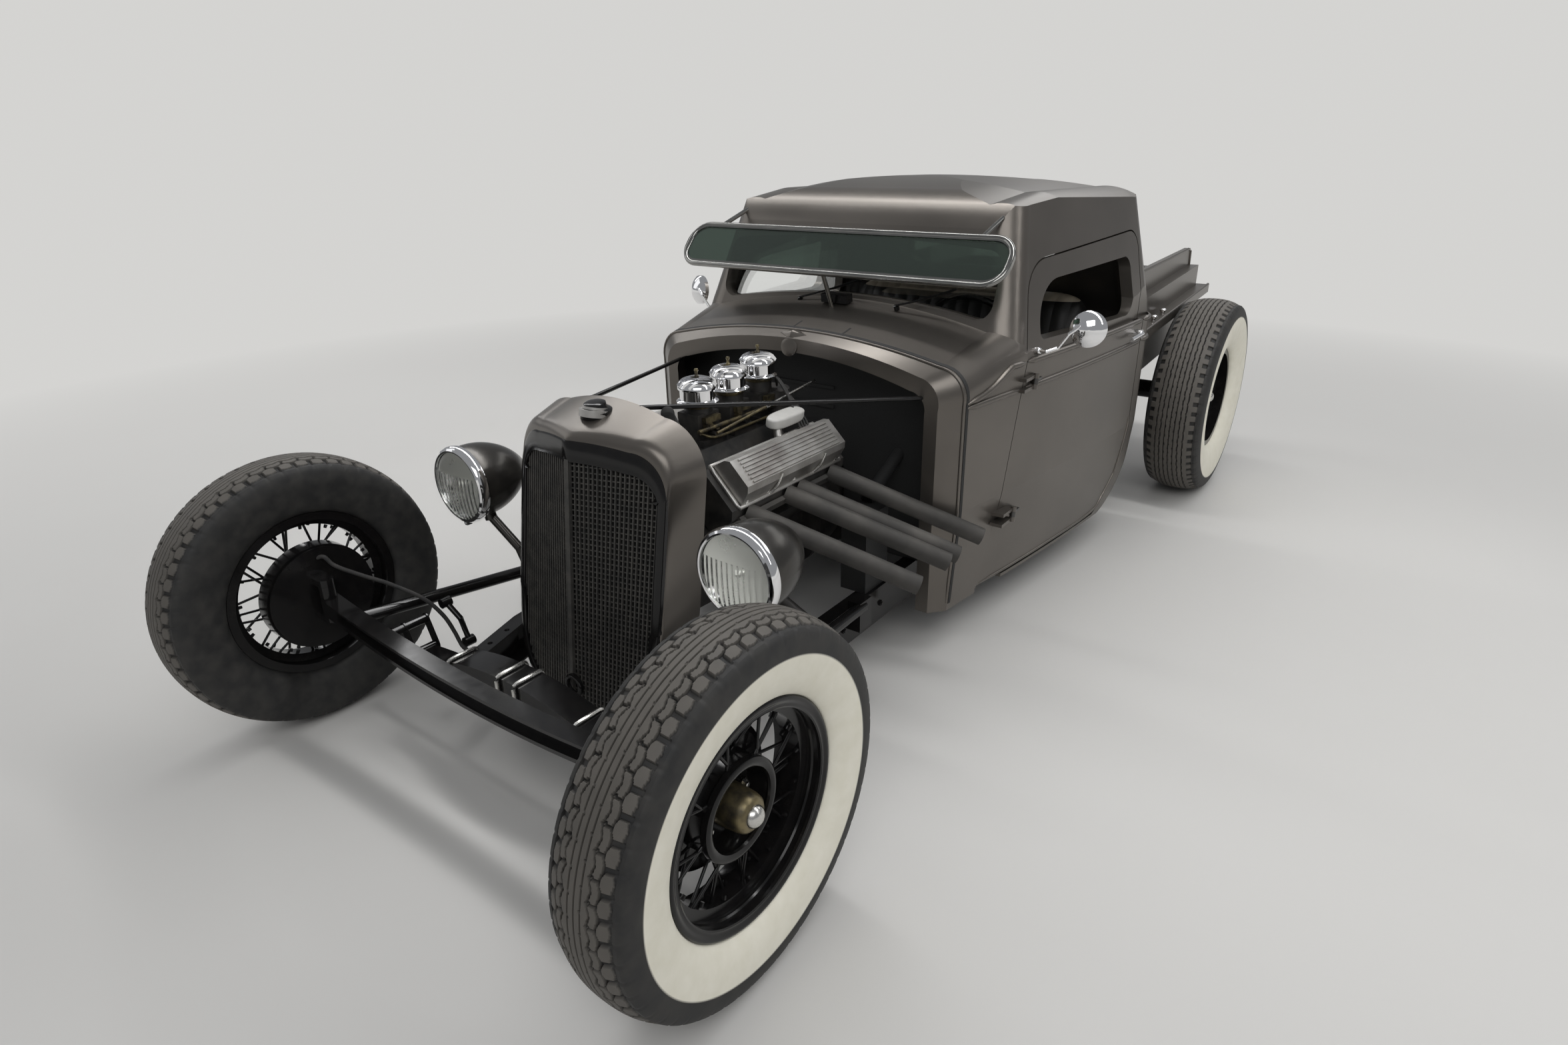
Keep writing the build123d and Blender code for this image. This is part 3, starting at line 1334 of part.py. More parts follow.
dash_y = 1522
with BuildPart() as dashboard:
    add(cowl_fit)
    block(0, dash_y, 900, 1020, 36, 240, mode=Mode.INTERSECT)
    rod(column_foot, column_top, column_radius + 0.3, mode=Mode.SUBTRACT)
pieces["dashboard"] = dashboard

column_way = (Vector(*column_top) - Vector(*column_foot)).normalized()
shaft_radius = 10


def column_place(reach):
    """Place on the column's line, by its distance past the column's top."""
    spot = Vector(*column_top) + column_way * reach
    return (spot.X, spot.Y, spot.Z)


box_top = 470
with BuildPart() as steering_column:
    rod(column_foot, column_top, column_radius)
    block(column_x + 20, 1090, (floor_z + box_top) / 2, 84, 120, box_top - floor_z)
    rod(column_top, column_place(-80), shaft_radius + running_clearance, mode=Mode.SUBTRACT)
    block(column_x, dash_y, 735, 60, 20, 90)
pieces["steering_column"] = steering_column

with BuildPart() as steering_wheel:
    rod(column_place(-70), column_place(40), shaft_radius)
    rod(column_place(5), column_place(40), 30)
    rim_plane = Plane(origin=place(*column_place(40)), x_dir=(1, 0, 0), z_dir=column_way)
    with Locations(rim_plane):
        Torus(178, 11)
    for turn in (90, 210, 330):
        with BuildSketch(rim_plane.offset(-4)) as spoke:
            with Locations((89 * cos(radians(turn)), 89 * sin(radians(turn)))):
                Rectangle(176, 20, rotation=turn)
        extrude(spoke.sketch, amount=6)
pieces["steering_wheel"] = steering_wheel

# Windshield pane and the tinted visor above it
with BuildPart() as windshield:
    extrude(screen_outline(pane_gap), amount=-260)
    slope = tan(radians(screen_lean))
    slab = []
    for z, back_y in ((900, 24), (1200, 24), (1200, 30), (900, 30)):
        slab.append((screen_y + (z - screen_z) * slope + back_y, z))
    panel(along(0), slab, 600, both=True, mode=Mode.INTERSECT)
pieces["windshield"] = windshield

visor_half = 588
visor_depth = 158
visor_band = 15
visor_corner = 70
visor_plane = Plane(origin=place(0, 1420, 1128), x_dir=(1, 0, 0), z_dir=(0, -0.75, 0.66))
with BuildPart() as visor_frame:
    with BuildSketch(visor_plane) as outer_edge:
        RectangleRounded(2 * visor_half, visor_depth, visor_corner)
        RectangleRounded(2 * (visor_half - visor_band), visor_depth - 2 * visor_band, visor_corner - visor_band,
                         mode=Mode.SUBTRACT)
    extrude(outer_edge.sketch, amount=6, both=True)
    for hand in (1, -1):
        rod((hand * 470, 1470, 1185), (hand * 470, 1640, 1238), 7)
    rod((0, 1372, 1073), (0, 1430, 955), 7)
    add(upper_outer, mode=Mode.SUBTRACT)
    add(cowl_outer, mode=Mode.SUBTRACT)
pieces["visor_frame"] = visor_frame
with BuildPart() as visor_pane:
    inner = visor_band + pane_gap
    with BuildSketch(visor_plane) as tint:
        RectangleRounded(2 * (visor_half - inner), visor_depth - 2 * inner, visor_corner - inner)
    extrude(tint.sketch, amount=2.5, both=True)
pieces["visor_pane"] = visor_pane

# Bench seat on a plinth over the tunnel
seat_half = 540
plinth_top = floor_z + sheet + 90
with BuildPart() as seat:
    cushion = ((1920, plinth_top), (1905, 500), (1935, 530), (2240, 520), (2300, 480), (2300, plinth_top))
    panel(along(0), cushion, seat_half, both=True)
    rest = ((2236, 523), (2330, 930), (2370, 956), (2430, 940), (2440, 860), (2400, 490), (2304, 478))
    panel(along(0), rest, seat_half, both=True)
    plinth = ((1960, floor_z + sheet), (1960, plinth_top), (2290, plinth_top), (2290, floor_z + sheet))
    panel(along(0), plinth, seat_half - 40, both=True)
    block(0, 2100, floor_z, 2 * tunnel_half + 8, 800, 2 * (tunnel_low + 4 - floor_z), mode=Mode.SUBTRACT)
pieces["seat"] = seat

# Bed: box with flat-topped rails, stepped boards above them and a floor, all rising to the rear
rise = radians(bed_rise)


def bed_place(x, run, up):
    """Place on the leaning bed: run along its rail, up square to it."""
    return (x, bed_front + run * cos(rise) - up * sin(rise), bed_front_z + run * sin(rise) + up * cos(rise))


bed_side = Plane(origin=place(0, bed_front, bed_front_z), x_dir=(0, cos(rise), sin(rise)), z_dir=(1, 0, 0))
floor_up = -130
gate_gap = 6
gate_foot = floor_up + 16
gate_end = (bed_end - bed_front + gate_foot * sin(rise)) / cos(rise)
bed_length = gate_end - gate_thickness - gate_gap
board_end = 990
deck_up = floor_up + bed_wall + 3
# outer face, thickness, outline of run and height
bed_boards = (
    (bed_side_x, bed_wall, ((0, -bed_depth), (bed_length, -bed_depth), (bed_length, 0), (0, 0))),
    (bed_rail_x, bed_rail_width + 18, ((0, -16), (bed_length, -16), (bed_length, 0), (0, 0))),
    (bed_rail_x, 10, ((0, -34), (bed_length, -34), (bed_length, -8), (0, -8))),
    (bed_side_x + 8, 44, ((4, -0.5), (board_end, -0.5), (board_end, 90), (4, 96))),
    (board_x, 26, ((4, 80), (board_end, 80), (board_end - 8, board_height - 12), (4, board_height + 20))),
)
with BuildPart() as bed:
    for outer, thick, outline in bed_boards:
        for hand in (1, -1):
            panel(bed_side.offset(hand * outer), outline, -hand * thick)
    plate_up = floor_up + bed_wall
    floor_plate = ((0, floor_up), (bed_length, floor_up), (bed_length, plate_up), (0, plate_up))
    panel(bed_side, floor_plate, bed_side_x - 2, both=True)
    bulkhead = ((0, -bed_depth), (bed_wall, -bed_depth), (bed_wall, 96), (0, 96))
    panel(bed_side, bulkhead, bed_side_x - 2, both=True)
    deck_start = bed_wall + 4
    deck = ((deck_start, floor_up + 2), (bed_length, floor_up + 2), (bed_length, deck_up),
            (deck_start, deck_up))
    panel(bed_side, deck, bed_side_x - bed_wall - 4, both=True)
    for beam_run in (420, 880):
        beam = ((beam_run, floor_up - 22), (beam_run + 60, floor_up - 22), (beam_run + 60, floor_up + 1),
                (beam_run, floor_up + 1))
        panel(bed_side, beam, bed_side_x - 2, both=True)
        foot_y = bed_front + (beam_run + 30) * cos(rise)
        foot_top = bed_front_z + (beam_run + 30) * sin(rise) + floor_up - 12
        for hand in (1, -1):
            foot_x = hand * (rail_x - rail_width / 2)
            block(foot_x, foot_y, (rail_top + foot_top) / 2, rail_width, 50, foot_top - rail_top)
pieces["bed"] = bed

# Tailgate: panel with a pipe hinge along its foot, turning in eyes under the floor
gate_pin = (bed_length + gate_gap + gate_thickness / 2, gate_foot - 4)
eye_out, eye_in = 460, 430
side_play = 6


def gate_rod(hand, first, last, radius, mode=Mode.ADD):
    """Round bar along the tailgate's hinge line, between two distances from the middle."""
    rod(bed_place(hand * first, *gate_pin), bed_place(hand * last, *gate_pin), radius, mode=mode)


with BuildPart() as tailgate:
    gate_start = bed_length + gate_gap
    gate_sheet = [(gate_start, gate_foot), (gate_end, gate_foot), (gate_end, 60), (gate_start, 60)]
    panel(bed_side, gate_sheet, bed_side_x - bed_wall - gate_gap, both=True)
    for hand in (1, -1):
        gate_rod(hand, eye_in - side_play, eye_out + side_play, 20, mode=Mode.SUBTRACT)
        gate_rod(hand, 300, eye_in - side_play, 12)
        gate_rod(hand, 400, eye_out + 20, gate_pin_radius)
pieces["tailgate"] = tailgate

with BuildPart() as gate_eyes:
    pin_run, pin_up = gate_pin
    under = floor_up - 0.2
    arm = ((bed_length - 80, floor_up - 16), (pin_run - 2, pin_up - 14), (pin_run - 8, pin_up + 2),
           (bed_length + 1, under), (bed_length - 80, under))
    for hand in (1, -1):
        gate_rod(hand, eye_in, eye_out, 14)
        panel(bed_side.offset(hand * eye_out), arm, -hand * (eye_out - eye_in))
        gate_rod(hand, eye_in, eye_out, gate_pin_radius + running_clearance, mode=Mode.SUBTRACT)
pieces["gate_eyes"] = gate_eyes

with BuildPart() as tail_lamps:
    for hand in (1, -1):
        rod((hand * 300, bed_end - 34, 548), (hand * 300, bed_end - 4, 548), 42)
        rod((hand * 300, rail_end - 13.7, 548), (hand * 300, bed_end - 30, 548), 20)
pieces["tail_lamps"] = tail_lamps

with BuildPart() as fuel_tank:
    with BuildSketch(along(300)) as tank:
        with Locations((3400, 500)):
            RectangleRounded(200, 150, 30)
    extrude(tank.sketch, amount=-600)
    for strap_y in (3340, 3460):
        block(0, strap_y, 580, 2 * (rail_x - rail_width), 30, 14)
pieces["fuel_tank"] = fuel_tank

os.makedirs("parts", exist_ok=True)
for name, piece in pieces.items():
    piece.part.label = name
    export_step(piece.part, f"parts/{name}.step")
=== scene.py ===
import json
import math
import bmesh
import bpy
import numpy as np
from mathutils import Matrix, Vector


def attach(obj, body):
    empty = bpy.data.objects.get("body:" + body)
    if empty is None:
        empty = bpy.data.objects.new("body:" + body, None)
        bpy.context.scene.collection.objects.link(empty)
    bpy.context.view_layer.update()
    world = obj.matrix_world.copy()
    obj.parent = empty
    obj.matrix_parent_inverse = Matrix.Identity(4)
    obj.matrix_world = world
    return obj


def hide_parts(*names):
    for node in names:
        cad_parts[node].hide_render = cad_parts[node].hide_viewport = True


# Chopped pickup hot rod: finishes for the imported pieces, and the fine pieces that stand for some of them
# Metres, front towards -Y, the car's left at +X

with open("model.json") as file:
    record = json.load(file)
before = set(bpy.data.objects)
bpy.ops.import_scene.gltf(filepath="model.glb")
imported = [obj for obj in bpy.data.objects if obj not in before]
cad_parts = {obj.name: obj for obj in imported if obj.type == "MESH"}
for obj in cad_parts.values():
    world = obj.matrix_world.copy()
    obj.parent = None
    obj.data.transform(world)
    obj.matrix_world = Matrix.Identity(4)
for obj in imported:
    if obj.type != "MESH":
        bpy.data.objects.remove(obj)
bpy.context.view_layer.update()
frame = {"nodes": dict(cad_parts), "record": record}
nodes = frame["nodes"]
scene = bpy.context.scene
frontAxle = -1.639  # Y of the front axle

print("stage: helpers")


# A shader socket that can stand in sums and products; each operator adds one Math node
class Signal:
    def __init__(self, shade, socket):
        self.shade = shade
        self.socket = socket

    def math(self, operation, *values):  # a Math node on the values given
        return self.shade.node("Math", {"operation": operation}, dict(enumerate(values)))

    def sine(self):
        return self.math("SINE", self)

    def __add__(self, other):
        return self.math("ADD", self, other)

    def __mul__(self, other):
        return self.math("MULTIPLY", self, other)

    def __gt__(self, other):
        return self.math("GREATER_THAN", self, other)

    def __lt__(self, other):
        return self.math("LESS_THAN", self, other)

    def __rsub__(self, other):
        return self.math("SUBTRACT", other, self)

    __radd__ = __add__
    __rmul__ = __mul__

    def ramp(self, low, high):  # 0 below low, 1 above high
        return self.shade.node("MapRange", {}, {"Value": self, "From Min": low, "From Max": high})


# One material: node() adds any node from its type, its settings and the values or links of its sockets
class Shade:
    def __init__(self, name, owner=None):  # the owner may be a world
        self.material = owner or bpy.data.materials.new(name)
        self.material.use_nodes = True
        self.tree = self.material.node_tree
        self.tree.nodes.clear()

    def node(self, kind, settings=None, inputs=None, output=0):  # the output asked for, or nothing where it is None
        made = self.tree.nodes.new("ShaderNode" + kind)
        for key, value in (settings or {}).items():
            setattr(made, key, value)
        for key, value in (inputs or {}).items():
            socket = made.inputs[key]
            if isinstance(value, Signal):
                self.tree.links.new(value.socket, socket)
            elif socket.type == "RGBA" and len(value) == 3:
                socket.default_value = (*value, 1)
            else:
                socket.default_value = value
        return None if output is None else Signal(self, made.outputs[output])

    def place(self, centre=(0, 0, 0), scale=(1, 1, 1)):  # Object coordinates about a centre
        here = self.node("TexCoord", output="Object")
        shift = tuple(-c * s for c, s in zip(centre, scale))
        return self.node("Mapping", {}, {"Vector": here, "Location": shift, "Scale": scale})

    def axes(self, vector):  # across, lengthways and upwards
        return [self.node("SeparateXYZ", {}, {0: vector}, output=i) for i in range(3)]

    def noise(self, scale, detail=3, where=None):
        return self.node("TexNoise", {}, {"Scale": scale, "Detail": detail, "Vector": where or self.place()})

    def mix(self, factor, first, second):
        return self.node("Mix", {"data_type": "RGBA"}, {"Factor": factor, 6: first, 7: second}, output=2)

    def bump(self, height, distance, strength=1.0):
        return self.node("Bump", {}, {"Height": height, "Distance": distance, "Strength": strength})

    def show(self, surface, output="OutputMaterial"):
        self.node(output, {}, {0: surface}, output=None)
        return self.material

    def finish(self, **inputs):  # Base_Color stands for the socket Base Color, and so on
        return self.show(self.node("BsdfPrincipled", {}, {key.replace("_", " "): value for key, value in inputs.items()}))


# A mesh object from points and faces, without a body yet
def meshPiece(name, points, faces, material, smooth=True):
    mesh = bpy.data.meshes.new(name)
    mesh.from_pydata(np.asarray(points, float).reshape(-1, 3), [], faces)
    mesh.polygons.foreach_set("use_smooth", [smooth] * len(mesh.polygons))
    mesh.update()
    piece = bpy.data.objects.new(name, mesh)
    scene.collection.objects.link(piece)
    piece.data.materials.append(material)
    return piece


# Quads between neighbours of a rows by columns grid: corner number = row * columns + column, wrapped where closed
def gridFaces(rows, columns, closeRows=False, closeColumns=False):
    r = np.arange(rows if closeRows else rows - 1)
    c = np.arange(columns if closeColumns else columns - 1)
    r, c = np.meshgrid(r, c, indexing="ij")
    r, c = r.ravel(), c.ravel()
    nr, nc = (r + 1) % rows, (c + 1) % columns
    return np.stack([r * columns + c, r * columns + nc, nr * columns + nc, nr * columns + c], 1)


def at(points):  # millimetres from the front axle, as the drawings count, to metres in the frame
    return np.asarray(points, float) / 1000 + (0, frontAxle, 0)


# A piece's raw material: parts of mesh collected one after another
class Parts:
    def __init__(self, *shapes):
        self.points, self.faces, self.count = [], [], 0
        for shape in shapes:
            self.add(*shape)

    def add(self, points, faces):  # faces count from the first of these points
        points = np.asarray(points, float).reshape(-1, 3)
        self.points.append(points)
        self.faces += [[corner + self.count for corner in face] for face in faces]
        self.count += len(points)

    def piece(self, name, material, slotName, angle, body="car"):
        return addPiece(name, np.concatenate(self.points), self.faces, material, body, angle=angle)


# Each vector divided by its length
def unit(vectors):
    vectors = np.asarray(vectors, float)
    return vectors / np.linalg.norm(vectors, axis=-1, keepdims=True)


# Two directions square to a run, the first kept level where it can be
def squareTo(run):
    run = unit(run)
    helper = np.where(np.abs(run[..., 2:]) < 0.95, [0.0, 0, 1], [0.0, 1, 0])
    first = unit(np.cross(helper, run))
    return first, np.cross(run, first)


# Catmull-Rom curve through the points: a cubic between each pair, its slopes half the way between neighbours
def smoothPath(points, count):
    p = np.asarray(points, float)
    p = np.vstack([2 * p[0] - p[1], p, 2 * p[-1] - p[-2]])
    t = np.linspace(0, len(p) - 3, count)
    i = np.minimum(t.astype(int), len(p) - 4)
    u = (t - i)[:, None]
    a, b, c, d = p[i], p[i + 1], p[i + 2], p[i + 3]
    return 0.5 * (2 * b + (c - a) * u + (2 * a - 5 * b + 4 * c - d) * u ** 2 + (3 * b - a - 3 * c + d) * u ** 3)


# Section loop carried along a path: point = path + scale * (first number * side + second number * run x side)
def carried(path, loop, side=None, scale=None, closed=False):
    path = np.asarray(path, float)
    run = np.roll(path, -1, 0) - np.roll(path, 1, 0)
    if not closed:
        run[0], run[-1] = path[1] - path[0], path[-1] - path[-2]
    if side is None:
        first, second = squareTo(run)
    else:
        second = unit(np.cross(run, side))
        first = np.cross(second, unit(run))
    loop = np.asarray(loop, float)
    grow = np.ones(len(path)) if scale is None else np.asarray(scale, float)
    spread = loop[None, :, :1] * first[:, None] + loop[None, :, 1:] * second[:, None]
    points = path[:, None] + grow[:, None, None] * spread
    faces = gridFaces(len(path), len(loop), closeRows=closed, closeColumns=True).tolist()
    if not closed:
        last = (len(path) - 1) * len(loop)
        faces += [list(range(len(loop)))[::-1], list(range(last, last + len(loop)))]
    return points.reshape(-1, 3), faces


# Circle: (radius * cos, radius * sin)
def roundLoop(radius, sides):
    angle = np.linspace(0, 2 * np.pi, sides, endpoint=False)
    return np.stack([radius * np.cos(angle), radius * np.sin(angle)], 1)


# Round rod through the points, straight between them, or smoothed over a count of places
def tube(points, radius, sides=10, count=None, closed=False):
    path = at(points) if count is None else smoothPath(at(points), count)
    return carried(path, roundLoop(radius / 1000, sides), closed=closed)


# Profile of (along, radius) turned about an axis: point = centre + along * axis + radius * (cos, sin) across it
def turned(profile, centre, axis, steps=32, closed=False):
    along, radius = np.asarray(profile, float).T / 1000
    axis = unit(axis)
    first, second = squareTo(axis)
    angle = np.linspace(0, 2 * np.pi, steps, endpoint=False)
    ring = np.cos(angle)[:, None] * first + np.sin(angle)[:, None] * second
    points = at(centre) + along[:, None, None] * axis + radius[:, None, None] * ring
    faces = gridFaces(len(along), steps, closeRows=closed, closeColumns=True).tolist()
    if not closed:
        last = (len(along) - 1) * steps
        faces += [list(range(steps))[::-1], list(range(last, last + steps))]
    return points.reshape(-1, 3), faces


def box(centre, size, way=(0, 1, 0), up=(0, 0, 1)):  # size across, along the way, and up
    along = unit(way)
    across = unit(np.cross(along, up))
    over = np.cross(across, along)
    half = np.asarray(size, float) / 2000
    signs = np.array([(i, j, k) for i in (-1, 1) for j in (-1, 1) for k in (-1, 1)], float)
    points = at(centre) + (signs * half) @ np.stack([across, along, over])
    return points, [[0, 1, 3, 2], [4, 6, 7, 5], [0, 4, 5, 1], [2, 3, 7, 6], [0, 2, 6, 4], [1, 5, 7, 3]]


# Superellipse: the sign times the size to 2 / power, so a higher power gives a squarer round
def roundedPower(values, power):
    return np.sign(values) * np.abs(values) ** (2 / power)


# Faces of rows closed round into a strip, with a cap on the first and the last column
def cappedFaces(rows, columns):
    ends = [row * columns for row in range(rows)]
    return gridFaces(rows, columns, closeRows=True).tolist() + [ends, [spot + columns - 1 for spot in ends][::-1]]


# Where a ray from a place (mm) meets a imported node: the spot and the normal there, or None
def meets(name, place, way):
    hit, spot, normal, face = nodes[name].ray_cast(at(place), way)
    return (spot, normal) if hit else None


def inDrawing(spot):  # a spot in the frame, back in millimetres from the front axle
    return (np.array(spot) - at((0, 0, 0))) * 1000


def paintNode(name, material):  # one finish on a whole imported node
    piece = nodes[name]
    piece.data.materials.clear()
    piece.data.materials.append(material)


# A piece of the visual model: faces turned outward, sharp where they meet at more than the angle
def addPiece(name, points, faces, material, body, smooth=True, angle=None):
    piece = meshPiece(name, points, faces, material, smooth)
    shell = bmesh.new()
    shell.from_mesh(piece.data)
    bmesh.ops.recalc_face_normals(shell, faces=shell.faces)
    shell.to_mesh(piece.data)
    shell.free()
    if angle:
        piece.data.set_sharp_from_angle(angle=math.radians(angle))
    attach(piece, body)
    return piece


def thicken(piece, depth):  # a wall behind an open surface
    wall = piece.modifiers.new("wall", "SOLIDIFY")
    wall.thickness = depth
    wall.offset = -1


print("stage: finishes")


# Most finishes: tone = mix of two tones by a noise, roughness = least + spread * noise, bump from that noise or a finer
# one. blend is the range of the noise over which the tones change, bump is (height, strength, and a finer noise's scale)
def mottled(name, scale, detail, tones, roughness, blend=None, bump=None, **constants):
    shade = Shade(name)
    patch = shade.noise(scale, detail)
    tone = shade.mix(patch.ramp(*blend) if blend else patch, *tones) if len(tones) == 2 else tones
    if bump:
        constants["Normal"] = shade.bump(shade.noise(bump[2], 2) if len(bump) > 2 else patch, *bump[:2])
    return shade.finish(Base_Color=tone, Roughness=patch * roughness[1] + roughness[0], **constants)


satinCharcoal = mottled("satinCharcoal", 3.0, 4, ((0.13376, 0.12144, 0.10824), (0.1672, 0.1518, 0.1353)), (0.26, 0.1),
                        blend=(0.3, 0.7), bump=(0.0002, 0.15, 900.0), Metallic=0.75)
glossBlack = mottled("glossBlack", 40.0, 2, ((0.005, 0.005, 0.006), (0.012, 0.011, 0.010)), (0.10, 0.1),
                     bump=(0.0004, 0.1), Specular_IOR_Level=0.32)
chromePlate = mottled("chromePlate", 12.0, 3, (0.86, 0.86, 0.87), (0.03, 0.08), Metallic=1.0)
engineIron = mottled("engineIron", 25.0, 5, ((0.012, 0.012, 0.012), (0.05, 0.045, 0.04)), (0.35, 0.3),
                     blend=(0.35, 0.75), bump=(0.002, 0.3), Metallic=0.2)
interiorBlack = mottled("interiorBlack", 300.0, 2, ((0.008, 0.008, 0.008), (0.02, 0.02, 0.02)), (0.7, 0),
                        bump=(0.0005, 0.2))
greenTint = Shade("greenTint").finish(Base_Color=(0.055, 0.085, 0.065), Roughness=0.03, Transmission_Weight=0.75, IOR=1.3,
                                      Coat_Weight=1.0)
clearGlass = mottled("clearGlass", 4.0, 3, (0.9, 0.94, 0.92), (0, 0.02), Transmission_Weight=1.0, IOR=1.12, Alpha=0.35)
lampSilver = mottled("lampSilver", 25.0, 3, ((0.90, 0.90, 0.88), (0.97, 0.97, 0.95)), (0.22, 0.15), Metallic=0.75)
lampPaint = mottled("lampPaint", 14.0, 4, ((0.050, 0.047, 0.043), (0.072, 0.068, 0.062)), (0.20, 0.1), Metallic=0.7)
redLens = mottled("redLens", 200.0, 1, (0.45, 0.01, 0.01), (0.05, 0.1), bump=(0.001, 0.4), Coat_Weight=0.8)
blackRubber = mottled("blackRubber", 30.0, 4, ((0.016, 0.016, 0.016), (0.045, 0.042, 0.039)), (0.62, 0.2),
                      blend=(0.35, 0.75), bump=(0.0004, 0.3, 700.0))
meshDark = mottled("meshDark", 35.0, 4, ((0.062, 0.061, 0.058), (0.110, 0.104, 0.094)), (0.4, 0.2), blend=(0.3, 0.75),
                   Metallic=0.4)
brightSteel = mottled("brightSteel", 220.0, 3, ((0.55, 0.54, 0.51), (0.72, 0.71, 0.68)), (0.18, 0.15), Metallic=1.0)
agedBrass = mottled("agedBrass", 40.0, 5, ((0.23, 0.19, 0.105), (0.060, 0.053, 0.042)), (0.28, 0.3), blend=(0.35, 0.65),
                    Metallic=0.85)
creamEnamel = mottled("creamEnamel", 60.0, 4, ((0.52, 0.515, 0.49), (0.64, 0.63, 0.60)), (0.3, 0.15), bump=(0.0004, 0.2),
                      Coat_Weight=0.3)
smokedChrome = mottled("smokedChrome", 16.0, 3, ((0.20, 0.20, 0.19), (0.34, 0.335, 0.32)), (0.08, 0.12), Metallic=1.0)

shade = Shade("castAluminium")
pits = shade.noise(260.0, 4)
stain = shade.noise(14.0, 4).ramp(0.35, 0.75)
castAluminium = shade.finish(Base_Color=shade.mix(stain, (0.52, 0.51, 0.49), (0.30, 0.28, 0.26)), Metallic=0.95,
                             Roughness=pits * 0.2 + 0.32, Normal=shade.bump(pits, 0.0006, 0.35))

# Bare steel: streaks drawn out level by a mapping that is finer upwards
shade = Shade("bareSteel")
streak = shade.noise(30.0, 4, shade.place(scale=(1, 1, 12)))
bareSteel = shade.finish(Base_Color=shade.mix(streak, (0.20, 0.19, 0.18), (0.42, 0.41, 0.40)), Metallic=0.95,
                         Roughness=streak * 0.25 + 0.25)

shade = Shade("burntPipe")
scale = shade.noise(90.0, 5)
heat = shade.noise(8.0, 3).ramp(0.4, 0.65)
burntPipe = shade.finish(Base_Color=shade.mix(heat, (0.062, 0.059, 0.055), (0.100, 0.094, 0.086)), Metallic=0.5,
                         Roughness=scale * 0.2 + 0.55, Normal=shade.bump(scale, 0.0008, 0.4))

# Lamp glass: upright flutes over the lower two thirds of the lens
shade = Shade("lampGlass")
across, lengthways, upwards = shade.axes(shade.place())
flute = (across * 430.0).sine() * (upwards < 0.632)
lampGlass = shade.finish(Base_Color=(0.97, 0.98, 0.96), Roughness=shade.noise(60.0, 3) * 0.04 + 0.02, IOR=1.18,
                         Transmission_Weight=1.0, Normal=shade.bump(flute, 0.002, 0.7))

# Backing behind the grille: fine upright radiator fin lines, dusted unevenly, on a near-black tone that is painted
# shade
shade = Shade("finnedShadeBacking")
fins = (shade.axes(shade.place())[0] * 1800.0).sine()
dusty = fins * 0.5 + shade.noise(22.0, 4) * 0.5
finnedShadeBacking = shade.finish(Base_Color=shade.mix(dusty, (0.006, 0.006, 0.006), (0.030, 0.028, 0.025)), Roughness=0.75,
                        Normal=shade.bump(fins, 0.0008, 0.6))

# Pleats across the seat, the size of a sine, and two pale bands: one by height on the back, one by depth on the cushion
shade = Shade("pleatedLeather")
across, lengthways, upwards = shade.axes(shade.place())
ridge = (across * (math.pi / 0.055)).sine()
pleat = ridge.math("ABSOLUTE", ridge)
leatherGrain = shade.noise(420.0, 3)
bandLow = upwards.math("COMPARE", upwards, 0.905, 0.022)
bandFront = lengthways.math("COMPARE", lengthways, 0.325, 0.022)
bands = bandLow.math("MAXIMUM", bandLow, bandFront)
fineBump = shade.bump(leatherGrain, 0.0006, 0.3)
pleatBump = shade.node("Bump", {}, {"Height": pleat, "Distance": 0.006, "Strength": 0.8, "Normal": fineBump})
pleatedLeather = shade.finish(Base_Color=shade.mix(bands, (0.016, 0.015, 0.014), (0.62, 0.54, 0.42)),
                              Roughness=leatherGrain * 0.2 + 0.42, Normal=pleatBump)

# Chrome on the handle only; the hinge leaves ahead of it are painted as the body is
shade = Shade("doorMetal")
past = shade.axes(shade.place())[1] > 0.40
doorMetal = shade.finish(Base_Color=shade.mix(past, (0.105, 0.102, 0.098), (0.86, 0.86, 0.87)), Metallic=0.9,
                         Roughness=(1 - past) * 0.26 + shade.noise(20.0) * 0.08 + 0.03)

finishes = {
    "body_paint": satinCharcoal, "chassis_black": glossBlack, "chrome": chromePlate, "cast_aluminium": castAluminium,
    "engine_iron": engineIron, "pipe_steel": burntPipe, "lamp_glass": lampGlass, "tinted_glass": greenTint,
    "clear_glass": clearGlass, "seat_leather": interiorBlack, "black_plastic": glossBlack, "red_glass": redLens,
    "interior_black": interiorBlack, "steel": bareSteel, "tyre_rubber": blackRubber,
}
ownFinishes = {"door_hardware_left": doorMetal, "door_hardware_right": doorMetal, "visor_frame": smokedChrome,
               "headlights": lampPaint, "induction": engineIron}
for part in frame["record"]["subparts"]:
    paintNode(part["node"], finishes[part["material_slot"]])
for name, material in ownFinishes.items():
    paintNode(name, material)

print("stage: tyres")
tyres = {
    "front": {"diameter": 0.724, "width": 0.165, "rim": 0.406, "rimWidth": 0.102, "creamOuter": 0.306,
              "blocks": 56, "ribs": (-0.2, 0.0, 0.2), "groove": 0.014, "zigzags": (0.42, 0.66), "zig": 0.05,
              "slot": 0.17, "edge": 0.96},
    "rear": {"diameter": 0.812, "width": 0.220, "rim": 0.381, "rimWidth": 0.140, "creamOuter": 0.338,
             "blocks": 64, "ribs": (-0.6, -0.4, -0.2, 0.0, 0.2, 0.4, 0.6), "groove": 0.020, "zigzags": (), "zig": 0,
             "slot": 0.35, "edge": 1.0},
}
